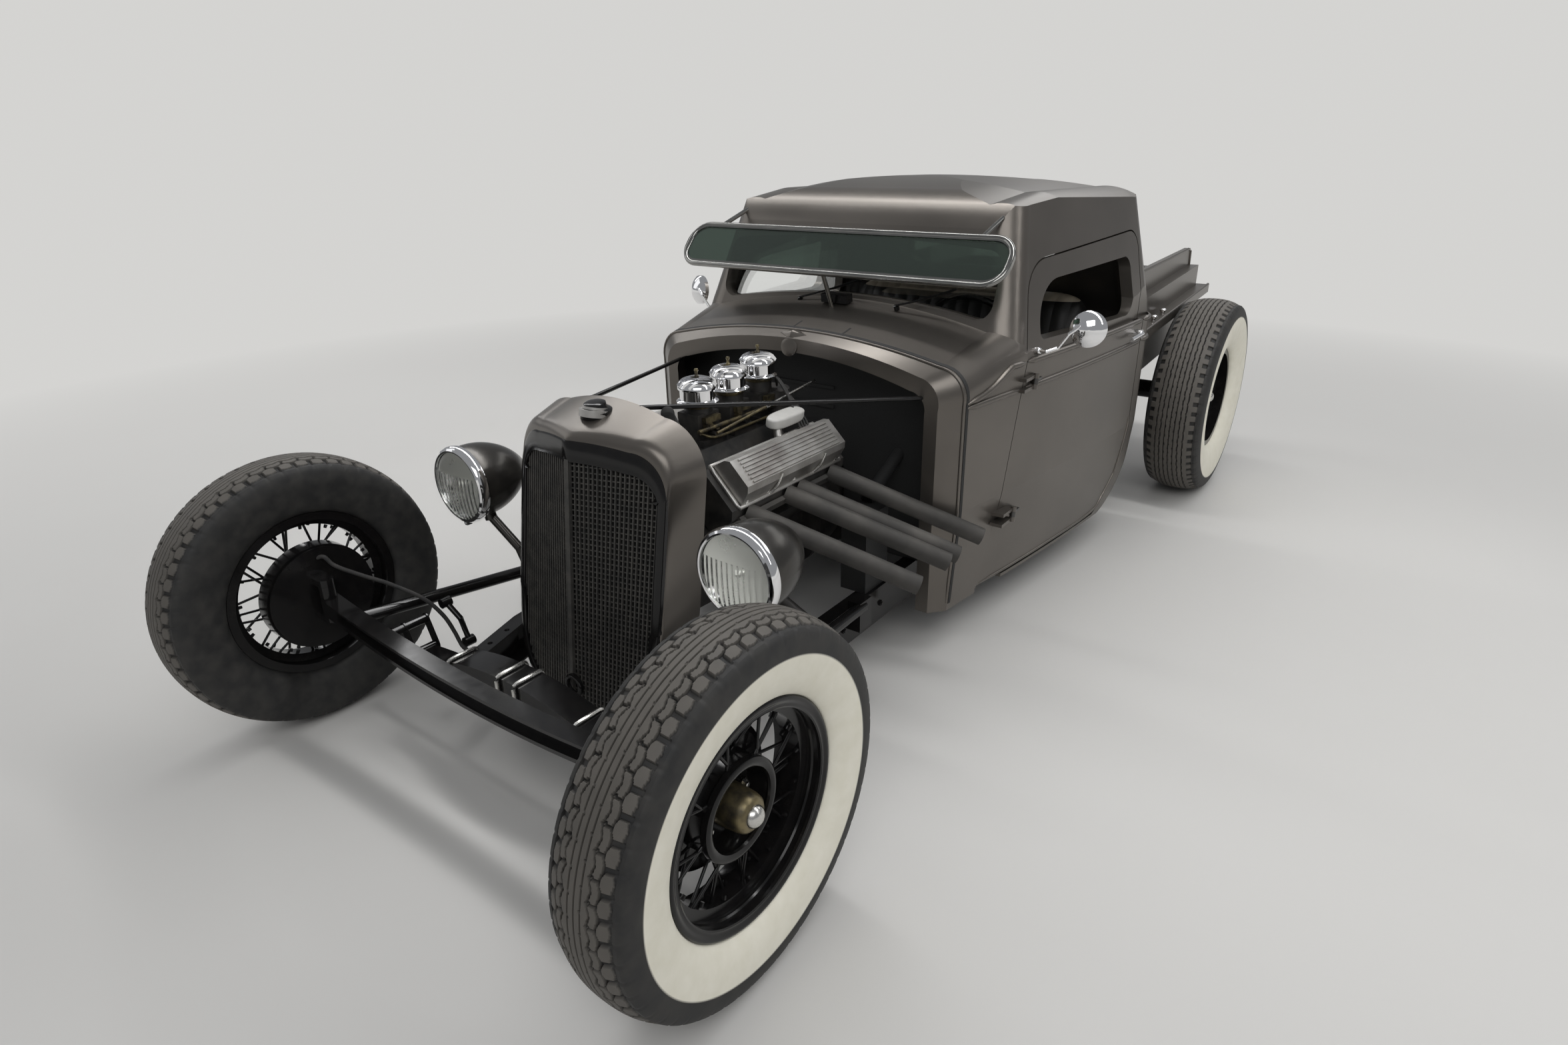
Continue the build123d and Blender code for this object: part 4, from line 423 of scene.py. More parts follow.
# Shares of the half width, widths on the tread from -1 to 1, and depths in metres
treadCut = {"shoulder": 0.17, "half": 0.80, "wave": 0.012, "line": 0.022, "flange": 0.018, "blocks": 0.006,
            "step": 0.003, "nick": 0.0015}
corners = {
    "front_left": (1, 0.738, frontAxle), "front_right": (-1, 0.738, frontAxle),
    "rear_left": (1, 0.760, frontAxle + 3.130), "rear_right": (-1, 0.760, frontAxle + 3.130),
}

# Two attributes of the piece paint it: "cream" is 1 on the outer sidewall from its outer radius down to the rim, and
# the other is 1 on the tops of the blocks and ribs, which it paints lighter: a painted highlight on the tread tops
shade = Shade("whitewallRubber")
band = shade.node("Attribute", {"attribute_name": "cream"}, output="Fac")
dust = shade.noise(30.0, 4)
skin = shade.noise(700.0, 2)
paintedTopLight = shade.node("Attribute", {"attribute_name": "paintedTopLight"}, output="Fac")
black = shade.mix(dust.ramp(0.35, 0.75), (0.014, 0.014, 0.014), (0.036, 0.034, 0.031))
# The tread tops are lightened by a painted highlight, mottled by the dust noise; the grooves keep the dark rubber tone
black = shade.mix(paintedTopLight * (dust * 0.5 + 0.6), black, (0.115, 0.105, 0.092))
cream = shade.mix(dust.ramp(0.3, 0.8), (0.86, 0.83, 0.72), (0.79, 0.76, 0.64))
whitewallRubber = shade.finish(Base_Color=shade.mix(band.ramp(0.35, 0.65), black, cream), Roughness=dust * 0.2 + 0.55,
                               Normal=shade.bump(skin, 0.0004, 0.3))


# Tyre surface: place = (across, radius * sin, radius * cos) for each section point and turn. Grooves and slots lower
# the tread where their masks hold: wavy lines along the ribs, zigzag lines beside a block row, slots across the rows
def tyrePiece(corner):
    hand, x, y = corners[corner]
    size = tyres[corner.split("_")[0]]
    outer, half = size["diameter"] / 2, size["width"] / 2
    bead, flange = size["rimWidth"] / 2, size["rim"] / 2 + treadCut["flange"]
    shoulder = outer - treadCut["shoulder"] * half
    treadHalf = treadCut["half"] * half
    middle = (flange + shoulder) / 2
    swell = np.linspace(-1, 1, 17)
    wallR = middle + (shoulder - flange) / 2 * np.sin(swell * np.pi / 2)
    foot = np.interp(wallR, [flange, shoulder], [bead, treadHalf])
    wallA = foot + (half - np.interp(middle, [flange, shoulder], [bead, treadHalf])) * np.cos(swell * np.pi / 2) ** 0.8
    wallA += 0.0015 * np.exp(-((wallR - size["creamOuter"]) / 0.004) ** 2)
    fine = np.linspace(1, 0.38, 27)
    treadA = treadHalf * np.concatenate([fine, np.linspace(0.35, -0.35, 25), -fine[::-1]])
    treadR = shoulder + (outer - shoulder) * (1 - np.abs(treadA / treadHalf) ** 2.6)
    across = np.concatenate([[bead], wallA, treadA[1:-1], -wallA[::-1], [-bead]])
    seat = [size["rim"] / 2 + 0.0005]
    radius = np.concatenate([seat, wallR, treadR[1:-1], wallR[::-1], seat])
    steps = 12 * size["blocks"]
    angle = np.linspace(0, 2 * np.pi, steps, endpoint=False)
    a = across[:, None] / treadHalf
    turn = angle * size["blocks"] / (2 * np.pi)
    zigzag = 4 * np.abs(turn % 1 - 0.5) - 1
    onTread = (radius[:, None] > shoulder - 1e-6) & (np.abs(a) < 0.999)
    cut = np.zeros((len(across), steps), bool)
    for line in size["ribs"]:
        cut |= np.abs(a - line - treadCut["wave"] * zigzag[None]) < size["groove"]
    for line in size["zigzags"]:
        cut |= np.abs(np.abs(a) - line + size["zig"] * zigzag[None]) < treadCut["line"]
    blockRow = np.abs(a) > size["zigzags"][-1] if size["zigzags"] else np.abs(a) > 0.8
    cut |= blockRow & (((turn + 0.5 + size["slot"] / 2) % 1) < size["slot"])[None]
    if len(size["zigzags"]) > 1:
        innerRow = (np.abs(a) > size["zigzags"][0]) & (np.abs(a) < size["zigzags"][1])
        cut |= innerRow & (np.abs((turn[None] + 0.5 * (np.abs(a) - size["zigzags"][0])) % 1 - 0.06) < 0.06)
    depth = np.where(onTread & cut, treadCut["blocks"], 0.0)
    past = onTread & (np.abs(a) > size["edge"] + 0.8 * size["zig"] * (zigzag[None] - 1))
    cut = cut | past
    depth = np.where(past, np.maximum(depth, treadCut["step"]), depth)
    nick = (radius[:, None] > shoulder - 0.016) & ~onTread & (((turn + 0.5) % 1) < 0.12)[None]
    depth = depth + np.where(nick, treadCut["nick"], 0.0)
    r = radius[:, None] - depth
    px = hand * x + hand * across[:, None] + 0 * angle
    points = np.stack([px, y + r * np.sin(angle), outer + r * np.cos(angle)], 2)
    onWall = (across > 0) & (radius < size["creamOuter"] + 0.0005)
    cream = np.broadcast_to(onWall[:, None], r.shape)
    faces = gridFaces(len(across), steps, closeRows=True, closeColumns=True).tolist()
    piece = addPiece("tread_" + corner, points, faces, whitewallRubber, corner + "_wheel", angle=28)
    # The second mask marks the tread tops for the painted highlight
    for name, mask in (("cream", cream), ("paintedTopLight", onTread & ~cut)):
        layer = piece.data.attributes.new(name, "FLOAT", "POINT")
        layer.data.foreach_set("value", np.broadcast_to(mask, r.shape).astype(np.float32).ravel())
    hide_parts("tyre_" + corner)


for corner in corners:
    tyrePiece(corner)

print("stage: grille and lamps")
mesh = {"half": 231, "crown": 14, "top": 652, "corner": 80, "low": 20, "knee": (209, 115), "waist": 290, "foot": 126,
        "columns": 20, "rowPitch": 13.5, "wire": 3.4, "crossWire": 2.6, "back": 5}
lean = math.radians(10)
grilleFoot = 118  # height of the shell's low edge
foldLine = 281  # the fold between front and side, at the foot


# Front of the V at a place across and up: nose line leaning back, wings falling back to the fold 250 out
def veeFront(x, z, back):
    nose = 246 + (z - grilleFoot) * 79 / 697
    fold = foldLine + (z - grilleFoot) * math.tan(lean)
    return nose + (fold - nose) * np.abs(x) / 250 + back


# Places on the V by across and distance up the lean: height = foot + distance * cos(lean), in millimetres
def onFront(x, v, back):
    z = grilleFoot + np.asarray(v) * math.cos(lean)
    return np.stack(np.broadcast_arrays(x, veeFront(x, z, back), z), 1)


kneeArc = smoothPath([(mesh["foot"], mesh["low"]), mesh["knee"], (mesh["half"], mesh["waist"])], 25)
cornerTurn = np.linspace(0, np.pi / 2, 13)
cornerX = mesh["half"] - mesh["corner"] * (1 - np.cos(cornerTurn))
cornerV = mesh["top"] - mesh["corner"] * (1 - np.sin(cornerTurn))
edgeX = np.concatenate([kneeArc[:, 0], cornerX])
edgeV = np.concatenate([kneeArc[:, 1], cornerV])
columns = (np.arange(mesh["columns"]) + 0.5) * mesh["half"] / mesh["columns"]
columns = np.concatenate([-columns[::-1], columns])
span = np.abs(columns)
flat = mesh["half"] - mesh["corner"]
highV = np.where(span < flat, mesh["top"] + mesh["crown"] * (1 - (span / flat) ** 2), np.interp(-span, -cornerX, cornerV))
lowV = np.where(span < mesh["foot"], mesh["low"], np.interp(span, kneeArc[:, 0], kneeArc[:, 1]))
parts = Parts()
square = np.array([(-1, -1), (1, -1), (1, 1), (-1, 1)]) / 2000
for x, low, high in zip(columns, lowV, highV):
    path = at(onFront(x, np.array([low + 1, high - 1]), mesh["back"]))
    parts.add(*carried(path, square * (mesh["wire"], mesh["wire"] + 1), side=np.array([1.0, 0, 0])))
rows = np.arange(mesh["low"] + 8, mesh["top"] + mesh["crown"] - 2, mesh["rowPitch"])
for v in rows:
    arch = flat * math.sqrt(max(0, min(1, 1 - (v - mesh["top"]) / mesh["crown"])))
    half = np.interp(v, edgeV, edgeX) if v < mesh["top"] else arch
    for hand in (-1, 1):
        path = at(onFront(np.array([0, hand * (half - 1)]), v, mesh["back"] + 2))
        parts.add(*carried(path, square * (mesh["crossWire"], mesh["crossWire"]), side=np.array([0, 0, 1.0])))
path = at(onFront(0, np.array([mesh["low"], mesh["top"] + mesh["crown"]]), 4))
parts.add(*carried(path, square * (13, 9), side=np.array([1.0, 0, 0])))
grilleMesh = parts.piece("grille_mesh", meshDark, "chassis_black", 20)
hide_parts("grille")

# Black surround: a flat rolled band on the shell's front, round the opening
surround = {"side": 20, "top": 24, "steps": 160}
loopX = np.concatenate([edgeX, np.linspace(flat, -flat, 15)[1:-1], -edgeX[::-1]])
topV = mesh["top"] + mesh["crown"] * (1 - (np.linspace(flat, -flat, 15)[1:-1] / flat) ** 2)
loopV = np.concatenate([edgeV, topV, edgeV[::-1]])
loop = smoothPath(np.stack([loopX, loopV, 0 * loopX], 1), surround["steps"])
outward = np.cross(np.gradient(loop, axis=0), (0, 0, 1.0))
outward = unit(outward) * (surround["side"] + surround["top"] * np.clip(unit(outward)[:, 1:2], 0, 1) ** 2)
rows = []
for share, forward in ((-0.15, -8), (-0.15, 1), (0, 2.6), (0.12, 3.5), (0.88, 3.5), (1, 1.5), (1, -8), (0.4, -8)):
    spot = loop + share * outward
    rows.append(at(onFront(spot[:, 0], spot[:, 1], -forward)))
parts = Parts((np.array(rows), cappedFaces(len(rows), surround["steps"])))
boss = [(-2, 30), (6, 30), (8, 27), (8, 21), (4, 19), (-2, 19)]
parts.add(*turned(boss, (22, 248, 208), (0, -1, 0.05), 28, closed=True))
parts.piece("grille_surround", glossBlack, "chassis_black", 40)

# Painted shade behind the grille: a folded near-black plate close behind the mesh over the whole opening, with radiator
# fin lines
backingX = np.linspace(-0.97, 0.97, 41) * mesh["half"]
backingLow = np.where(np.abs(backingX) < mesh["foot"], mesh["low"], np.interp(np.abs(backingX), kneeArc[:, 0], kneeArc[:, 1])) + 4
backingHigh = np.where(np.abs(backingX) < flat, mesh["top"], np.interp(-np.abs(backingX), -cornerX, cornerV)) - 4
rows = [at(onFront(backingX, v, back)) for v, back in ((backingLow, 16), (backingHigh, 16), (backingHigh, 20), (backingLow, 20))]
Parts((np.array(rows), cappedFaces(len(rows), len(backingX)))).piece("radiator_shade_backing", finnedShadeBacking, "chassis_black", 30)

# Headlight rims with their clips, domed lenses and dished reflectors
lamp = {"across": 480, "along": 352, "height": 601, "clip": 491, "facets": 72}
parts, glass, dish = Parts(), Parts(), Parts()
for hand in (-1, 1):
    spot = (hand * lamp["across"], lamp["along"], lamp["height"])
    ring = [(-6, 99), (-8, 103), (-6, 106.5), (2, 108), (12, 107), (18, 103.5), (21, 98), (20, 94), (17, 93), (8, 94)]
    parts.add(*turned(ring, spot, (0, -1, 0), lamp["facets"], closed=True))
    clip = (spot[0], spot[1], lamp["clip"])
    parts.add(*box((spot[0], spot[1] - 4, lamp["clip"]), (12, 16, 12)))
    parts.add(*turned([(-7, 3.5), (9, 3.5), (9, 6), (13, 6), (13, 3.5), (15, 1)], clip, (0, -1, 0), 12))
    rise = np.linspace(0, 1, 14)
    dome = np.stack([12 + 16 * np.sqrt(1 - rise ** 2 * 0.96), 95 * rise + 0.4], 1)[::-1]
    shellDome = np.vstack([dome, dome[::-1] - (3, 0)])
    glass.add(*turned(shellDome, spot, (0, -1, 0), lamp["facets"], closed=True))
    bowl = np.stack([0.5 + 10 * rise ** 2, 92 * rise + 0.4], 1)
    dish.add(*turned(np.vstack([bowl, bowl[::-1] - (0.4, 0)]), spot, (0, -1, 0), lamp["facets"], closed=True))
    dish.add(*turned([(1, 9), (4, 9), (6, 5), (9, 1)], spot, (0, -1, 0), 24))
parts.piece("lamp_rims", chromePlate, "chrome", 30)
dish.piece("lamp_reflectors", lampSilver, "chrome", 60)
lensPiece = glass.piece("lamp_lenses", lampGlass, "lamp_glass", 60)
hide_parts("headlight_lenses")

print("stage: shell")
shell = {"round": 20, "wall": 9, "steps": 14}


# Shell outline by its four half widths, top, low edge, crown and corner, as (across, up) points in order from the foot
def shellLoop(halves, top, low, crown, corner):
    half, waist, knee, foot = halves
    bottom = smoothPath([(foot, low), (knee, low + 95), (waist, low + 270)], shell["steps"])
    side = np.linspace((waist, low + 270), (half, top - corner), shell["steps"] + 1)[1:-1]
    turn = np.linspace(0, np.pi / 2, 2 * shell["steps"])
    bend = np.stack([half - corner * (1 - np.cos(turn)), top - corner * (1 - np.sin(turn))], 1)
    flatHalf = half - corner
    run = np.linspace(flatHalf, 0, shell["steps"])[1:]
    arch = np.stack([run, top + crown * (1 - (run / flatHalf) ** 2)], 1)
    rightHalf = np.vstack([bottom, side, bend, arch])
    return np.vstack([rightHalf, (rightHalf * (-1, 1))[::-1][1:]])


upShoulder = (815 - grilleFoot) / math.cos(lean)
frontLoop = shellLoop((224, 264, 236, 145), upShoulder - 28, 0, 16, 76)
rearLoop = shellLoop((281, 237, 205, 145), 857, grilleFoot, 24, 120)
opening = (mesh["half"], mesh["half"], mesh["knee"][0], mesh["foot"])
openLoop = shellLoop(opening, mesh["top"], mesh["low"], mesh["crown"], mesh["corner"])
forwardY, forwardZ = -100 * math.cos(lean), 100 * math.sin(lean)
first = np.stack([frontLoop[:, 0], foldLine + frontLoop[:, 1] * math.sin(lean) + forwardY,
                  grilleFoot + frontLoop[:, 1] * math.cos(lean) + forwardZ], 1)
last = np.stack([rearLoop[:, 0], np.full(len(rearLoop), 488.0), rearLoop[:, 1]], 1)
# Share of each straight run where the V front cuts it, by halving the interval 30 times
lowShare, highShare = np.zeros(len(first)), np.ones(len(first))
for turn in range(30):
    share = (lowShare + highShare) / 2
    spot = first + share[:, None] * (last - first)
    ahead = spot[:, 1] < veeFront(spot[:, 0], spot[:, 2], 0)
    lowShare, highShare = np.where(ahead, share, lowShare), np.where(ahead, highShare, share)
edge = first + lowShare[:, None] * (last - first)
inner = onFront(openLoop[:, 0], openLoop[:, 1], 0)
toOpen, toRear = unit(inner - edge), unit(last - edge)
across = np.linalg.norm(inner - edge, axis=1, keepdims=True)
rounding = np.minimum(shell["round"], 0.6 * across)
sections = [inner + (0, 8, 0), inner + (0, 2, 0), inner + 2.5 * unit(edge - inner)]
sections += [inner + share * (edge + rounding * toOpen - inner) for share in (0.3, 0.6)]
start, end = edge + rounding * toRear, edge + rounding * toOpen
for share in np.linspace(0, 1, 7):  # quadratic curve round the front edge
    sections.append((1 - share) ** 2 * end + 2 * share * (1 - share) * edge + share ** 2 * start)
sections += [start + share * (last - start) for share in (0.1, 0.25, 0.5, 0.75, 0.97, 1.0)]
inward = np.stack([-last[:, 0], 0 * last[:, 1], 520 - last[:, 2]], 1)
sections += [last + shell["wall"] * unit(inward), start + 0.7 * (last - start) + shell["wall"] * unit(inward)]
grid = np.stack([at(s) for s in sections])
faces = gridFaces(grid.shape[0], grid.shape[1]).tolist()
skin = addPiece("shell_skin", grid, faces, satinCharcoal, "car", angle=50)
thicken(skin, 0.003)
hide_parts("grille_shell")
cap = [(-12, 1), (-12, 38), (0, 39), (2, 36), (4, 30), (9, 27), (18, 26), (20, 22), (21, 12), (21, 1)]
Parts(turned(cap, (0, 424, 866), (0, -0.1, 1), 40)).piece("filler_cap", glossBlack, "chassis_black", 30)

print("stage: engine dressing")
cans = {"fins": 7, "reach": 51, "slant": 0.6, "seats": ((780, 805), (911, 812), (1043, 822))}
parts, knobs = Parts(), Parts()
for y, z in cans["seats"]:
    profile = [(0, 1), (0, 56), (3, 57), (6, 54), (9, 47), (34, 47), (36, 52), (40, 52), (48, 49), (56, 40), (60, 28),
               (62, 14), (62, 1)]
    parts.add(*turned(profile, (0, y, z), (0, 0, 1), 48))
    for offset in cans["reach"] * np.linspace(-0.8, 0.8, cans["fins"]):
        # a fin is a chord at its offset from the middle, laid on the dome and slanted to the car's length
        chord = math.sqrt(cans["reach"] ** 2 - offset ** 2) * np.linspace(-1, 1, 15)
        height = np.interp(np.hypot(offset, chord), [0, 14, 28, 40, 49, 52], [62, 62, 60, 56, 48, 40])
        x = offset * math.cos(cans["slant"]) + chord * math.sin(cans["slant"])
        along = -offset * math.sin(cans["slant"]) + chord * math.cos(cans["slant"])
        path = at(np.stack([x, y + along, z + height + 1.5], 1))
        fin = np.array([(-3, -1.6), (3.4, -1.2), (3.4, 1.2), (-3, 1.6)]) / 1000
        parts.add(*carried(path, fin, side=np.array([0, 0, 1.0])))
    knob = [(0, 7), (8, 7), (10, 5), (12, 4), (20, 4), (22, 6), (27, 5), (28, 1)]
    knobs.add(*turned(knob, (0, y, z + 61), (0, 0, 1), 16))
cleanerPiece = parts.piece("air_cans", chromePlate, "chrome", 35)
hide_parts("air_cleaners")
knobs.piece("can_knobs", agedBrass, "cast_aluminium", 35)

parts = Parts()
for y, z in cans["seats"]:
    for hand in (-1, 1):
        parts.add(*turned([(0, 12), (14, 12), (14, 8), (20, 8)], (hand * 36, y - 12, 748), (hand, 0, 0), 14))
        parts.add(*turned([(0, 9), (10, 9), (12, 5)], (hand * 36, y + 24, 732), (hand, 0, 0.2), 6))
        parts.add(*box((hand * 44, y + 2, 764), (14, 60, 16)))
    parts.add(*turned([(0, 41), (5, 43), (9, 41), (9, 38)], (0, y, z - 12), (0, 0, 1), 32))
parts.piece("carburettor_fittings", agedBrass, "cast_aluminium", 30)
branch = [(44, 735, 733), (60, 780, 716), (60, 905, 716), (60, 1035, 716), (58, 1090, 706), (30, 1120, 690)]
feeds = [tube([(hand * 52, 720, 742), (hand * 54, 1090, 742)], 6, 10, 20) for hand in (1, -1)]
Parts(*feeds, tube(branch, 4, 8, 60)).piece("fuel_lines", agedBrass, "cast_aluminium", 40)

dip = [(100, 738, 744), (100, 960, 767), (100, 1184, 790)]
Parts(tube(dip[:2], 4, 10)).piece("throttle_rod", agedBrass, "cast_aluminium", 40)
sleeve = turned([(-16, 6.5), (16, 6.5)], dip[1], (0, 224, 23), 12)
Parts(tube(dip[1:], 4.5, 10), sleeve).piece("throttle_link", brightSteel, "steel", 40)


# Superellipsoid: half sizes * (cos u cos v, sin u cos v, sin v), each to its rounded power, then tilted in a plane of
# two axes to (first * cos - second * sin, first * sin + second * cos)
def roundedSlab(half, powers, steps, rings, plane, tilt, centre):
    u = np.linspace(0, 2 * np.pi, steps, endpoint=False)
    v = np.linspace(-np.pi / 2, np.pi / 2, rings + 2)[1:-1]
    waist = roundedPower(np.cos(v), powers[2])[:, None]
    ringX = roundedPower(np.cos(u), powers[0])[None] * waist
    ringY = roundedPower(np.sin(u), powers[1])[None] * waist
    ringZ = roundedPower(np.sin(v), powers[2])[:, None] + 0 * ringX
    points = (np.stack([ringX, ringY, ringZ], 2) * half).reshape(-1, 3)
    first, second = points[:, plane].T
    points[:, plane[0]] = first * math.cos(tilt) - second * math.sin(tilt)
    points[:, plane[1]] = first * math.sin(tilt) + second * math.cos(tilt)
    ends = [list(range(steps))[::-1], list(range((rings - 1) * steps, rings * steps))]
    return points + at(centre), gridFaces(rings, steps, closeColumns=True).tolist() + ends


# Breather: a rounded pale box on a short stand at the inner side of the cover
breather = {"centre": (148, 972, 736), "half": (0.026, 0.076, 0.017), "powers": (2.4, 3.4, 5), "tip": math.radians(10)}
slab = roundedSlab(breather["half"], breather["powers"], 48, 21, [2, 0], breather["tip"], breather["centre"])
Parts(slab).piece("breather", creamEnamel, "cast_aluminium", 60)
neck = tube([(150, 930, 724), (160, 922, 700), (172, 915, 682)], 12, 16, 10)
Parts(neck).piece("breather_neck", castAluminium, "cast_aluminium", 50)

leads = Parts()
for index, lift in enumerate((30, 44, 52, 60)):
    for hand in (-1, 1):
        route = [(hand * 30, 1092, 786), (hand * (44 + 6 * index), 1080 - 10 * index, 800 + lift / 3),
                 (hand * (96 + 8 * index), 1070 - 14 * index, 760 + lift / 4), (hand * 170, 1040 - 12 * index, 715),
                 (hand * 215, 1010 - 6 * index, 668 - 6 * index)]
        leads.add(*tube(route, 3.6, 8, 40))
leads.piece("plug_leads", blackRubber, "tyre_rubber", 40)

# Corrugated hose: a tube whose radius follows a cosine along it
hose = {"route": [(155, 505, 850), (128, 532, 852), (100, 560, 836), (84, 590, 806), (74, 616, 770), (66, 640, 735)],
        "radius": 14, "ridge": 2.2, "ridges": 34}
path = smoothPath(at(hose["route"]), 6 * hose["ridges"])
phase = np.cos(2 * np.pi * hose["ridges"] * np.linspace(0, 1, len(path)))
ridged = carried(path, roundLoop(hose["radius"] / 1000, 18), scale=1 + hose["ridge"] / hose["radius"] * phase)
Parts(ridged).piece("radiator_hose", blackRubber, "tyre_rubber", 60)

# Cover hold-downs: sloping clips on the outer flank and bolts along the flange; the banks lean at 45 degrees
parts = Parts()
bankOut = np.array([1, 0, -1]) / math.sqrt(2)
bankUp = np.array([1, 0, 1]) / math.sqrt(2)
crankLine = 395


def onBank(up, out, y, hand):  # place by the distance up the bank and out across it from the crank's line
    spot = up * bankUp + out * bankOut
    return (hand * spot[0], y, crankLine + spot[2])


for hand in (-1, 1):
    for y in (760, 955):
        clip = [onBank(334, 34, y - 14, hand), onBank(360, 30, y, hand), onBank(392, 14, y + 10, hand)]
        parts.add(*tube(clip, 4, 10, 12))
    for y in (650, 740, 850, 950, 1050):
        for out in (-84, 26):
            bolt = [(0, 8), (7, 8), (7, 4.5), (12, 4.5)]
            parts.add(*turned(bolt, onBank(336, out, y, hand), hand * bankUp * (1, 1, hand), 6))
parts.piece("cover_clips", brightSteel, "steel", 30)
# Flange lip round each cover's foot
parts = Parts()
for hand in (-1, 1):
    loop = at([onBank(333, out, y, hand) for out, y in ((-94, 626), (34, 626), (34, 1074), (-94, 1074))])
    dense = np.concatenate([np.linspace(loop[i], loop[(i + 1) % 4], 12, endpoint=False) for i in range(4)])
    parts.add(*carried(dense, roundLoop(0.006, 10), closed=True))
parts.piece("cover_flanges", castAluminium, "cast_aluminium", 50)

print("stage: wheel fittings")
hubs = {"nuts": 5, "nutCircle": 57, "spokes": 32, "nippleCircle": 176}
curve = np.linspace(0.03, 1, 10)
dome = np.stack([50 + 18 * np.sqrt(1 - (curve * 0.99) ** 2), 22 * curve], 1)[::-1]
hubProfiles = {
    "cap": np.vstack([[(44, 21.5), (49, 22.4)], dome]),
    "cone": [(-27, 40), (4, 40), (34, 38), (45, 35), (50, 30), (51.5, 25), (51.5, 16)],
    "nut": [(0, 11.5), (12, 11.5), (15, 9), (15, 6), (21, 6), (22, 4)],
    "nipple": [(0, 5), (9, 4), (9, 2)],
    "drum": [(21, 79), (26, 81), (29, 87), (29, 93), (26, 98), (14, 99), (10, 96), (14, 84)],
    "step": [(34, 197), (38, 199), (38, 203), (34, 205), (30, 203), (30, 199)],
    "lip": [(50, 197), (56, 198), (57.5, 201), (56.5, 205), (57.5, 208), (60, 211.5), (61, 215), (60, 219), (57, 222),
            (52, 223), (50, 221)],
}


# Places round a wheel's centre: outboard along the axle, at a radius and a turn from the top
def aboutHub(centre, hand, outboard, radius, turn):
    return np.array(centre) + (hand * outboard, radius * math.sin(turn), radius * math.cos(turn))


for corner, (hand, x, y) in corners.items():
    front = corner.startswith("front")
    axle = (hand, 0, 0)
    spot = (x * 1000 * hand, (y - frontAxle) * 1000, tyres["front" if front else "rear"]["diameter"] * 500)
    for name, profile, material, slotName, angle in (
        ("hubcap_", "cap", brightSteel, "chrome", 40), ("hubcone_", "cone", agedBrass, "cast_aluminium", 35),
    ):
        middle = turned(hubProfiles[profile], spot, axle, 36)
        Parts(middle).piece(name + corner, material, slotName, angle, corner + "_wheel")
    nuts = Parts()
    for turn in np.arange(hubs["nuts"]) * 2 * math.pi / hubs["nuts"] + 0.3:
        nuts.add(*turned(hubProfiles["nut"], aboutHub(spot, hand, -29, hubs["nutCircle"], turn), axle, 6))
    nuts.piece("wheelnuts_" + corner, brightSteel, "steel", 20, corner + "_wheel")
    if front:
        rings = Parts()
        rings.add(*turned(hubProfiles["drum"], spot, axle, 60, closed=True))
        rings.add(*turned(hubProfiles["step"], spot, axle, 72, closed=True))
        for index in range(hubs["spokes"]):
            turn = (index + 0.5) * 2 * math.pi / hubs["spokes"]
            foot = aboutHub(spot, hand, 16 if index % 2 else -10, hubs["nippleCircle"], turn)
            rings.add(*turned(hubProfiles["nipple"], foot, (0, -math.sin(turn), -math.cos(turn)), 8))
        rings.add(*turned(hubProfiles["lip"], spot, axle, 72, closed=True))
        rings.piece("wheelrings_" + corner, glossBlack, "chassis_black", 35, corner + "_wheel")

print("stage: seat")
bench = {"swell": 0.026, "voxel": 0.012}


# Vertex places of a piece's mesh as rows of three, or of its evaluated mesh where live
def vertexArray(piece, live=False):
    mesh = piece.evaluated_get(bpy.context.evaluated_depsgraph_get()).data if live else piece.data
    flat = np.empty(3 * len(mesh.vertices), np.float32)
    mesh.vertices.foreach_get("co", flat)
    return flat.reshape(-1, 3).astype(float)


# The piece's mesh becomes what its modifiers give, and they go
def applied(piece):
    mesh = bpy.data.meshes.new_from_object(piece.evaluated_get(bpy.context.evaluated_depsgraph_get()))
    piece.modifiers.clear()
    piece.data = mesh


# Seat pad: a rounded slab swollen by cloth pressure, its shift capped at the swell, smoothed once
def padPiece(name, half, centre, lean):
    points, faces = roundedSlab(half, (5, 5, 5), 72, 35, [1, 2], lean, centre)
    piece = addPiece(name, points, faces, pleatedLeather, "car")
    bpy.context.view_layer.objects.active = piece
    remesh = piece.modifiers.new("even", "REMESH")
    remesh.mode = "VOXEL"
    remesh.voxel_size = bench["voxel"]
    applied(piece)
    before = vertexArray(piece)
    cloth = piece.modifiers.new("fill", "CLOTH")
    cloth.settings.use_pressure = True
    cloth.settings.uniform_pressure_force = 4
    cloth.settings.effector_weights.gravity = 0
    cloth.point_cache.frame_end = 20
    for step in range(1, 21):
        scene.frame_set(step)
    after = vertexArray(piece, True)
    shift = after - before
    reach = np.linalg.norm(shift, axis=1, keepdims=True)
    after = before + shift * np.minimum(1, bench["swell"] / np.maximum(reach, 1e-9))
    piece.modifiers.clear()
    piece.data.vertices.foreach_set("co", after.astype(np.float32).ravel())
    scene.frame_set(1)
    smooth = piece.modifiers.new("smooth", "SUBSURF")
    smooth.levels = smooth.render_levels = 1
    return piece


cushion = padPiece("seat_cushion", (0.515, 0.18, 0.065), (0, 2105, 452), math.radians(-2))
padPiece("seat_back", (0.515, 0.06, 0.21), (0, 2362, 726), math.radians(-13))
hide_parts("seat")
Parts(box((0, 2125, 310), (1000, 330, 140))).piece("seat_base", interiorBlack, "interior_black", 20)

print("stage: belt mouldings, seams and edges")


# Outermost spot of the body's side at each (y, z) place, from rays cast inwards on the named nodes
def sideSpots(places, names, hand):
    starts = at([(hand * 1500, y, z) for y, z in places])
    found = []
    for start in starts:
        hits = [(nodes[name].ray_cast(start, (-hand, 0, 0)), name) for name in names]
        hits = [(hit[1].x * hand, hit[1], hit[2], name) for hit, name in hits if hit[0]]
        found.append(max(hits, key=lambda hit: hit[0])[1:] if hits else None)
    return found


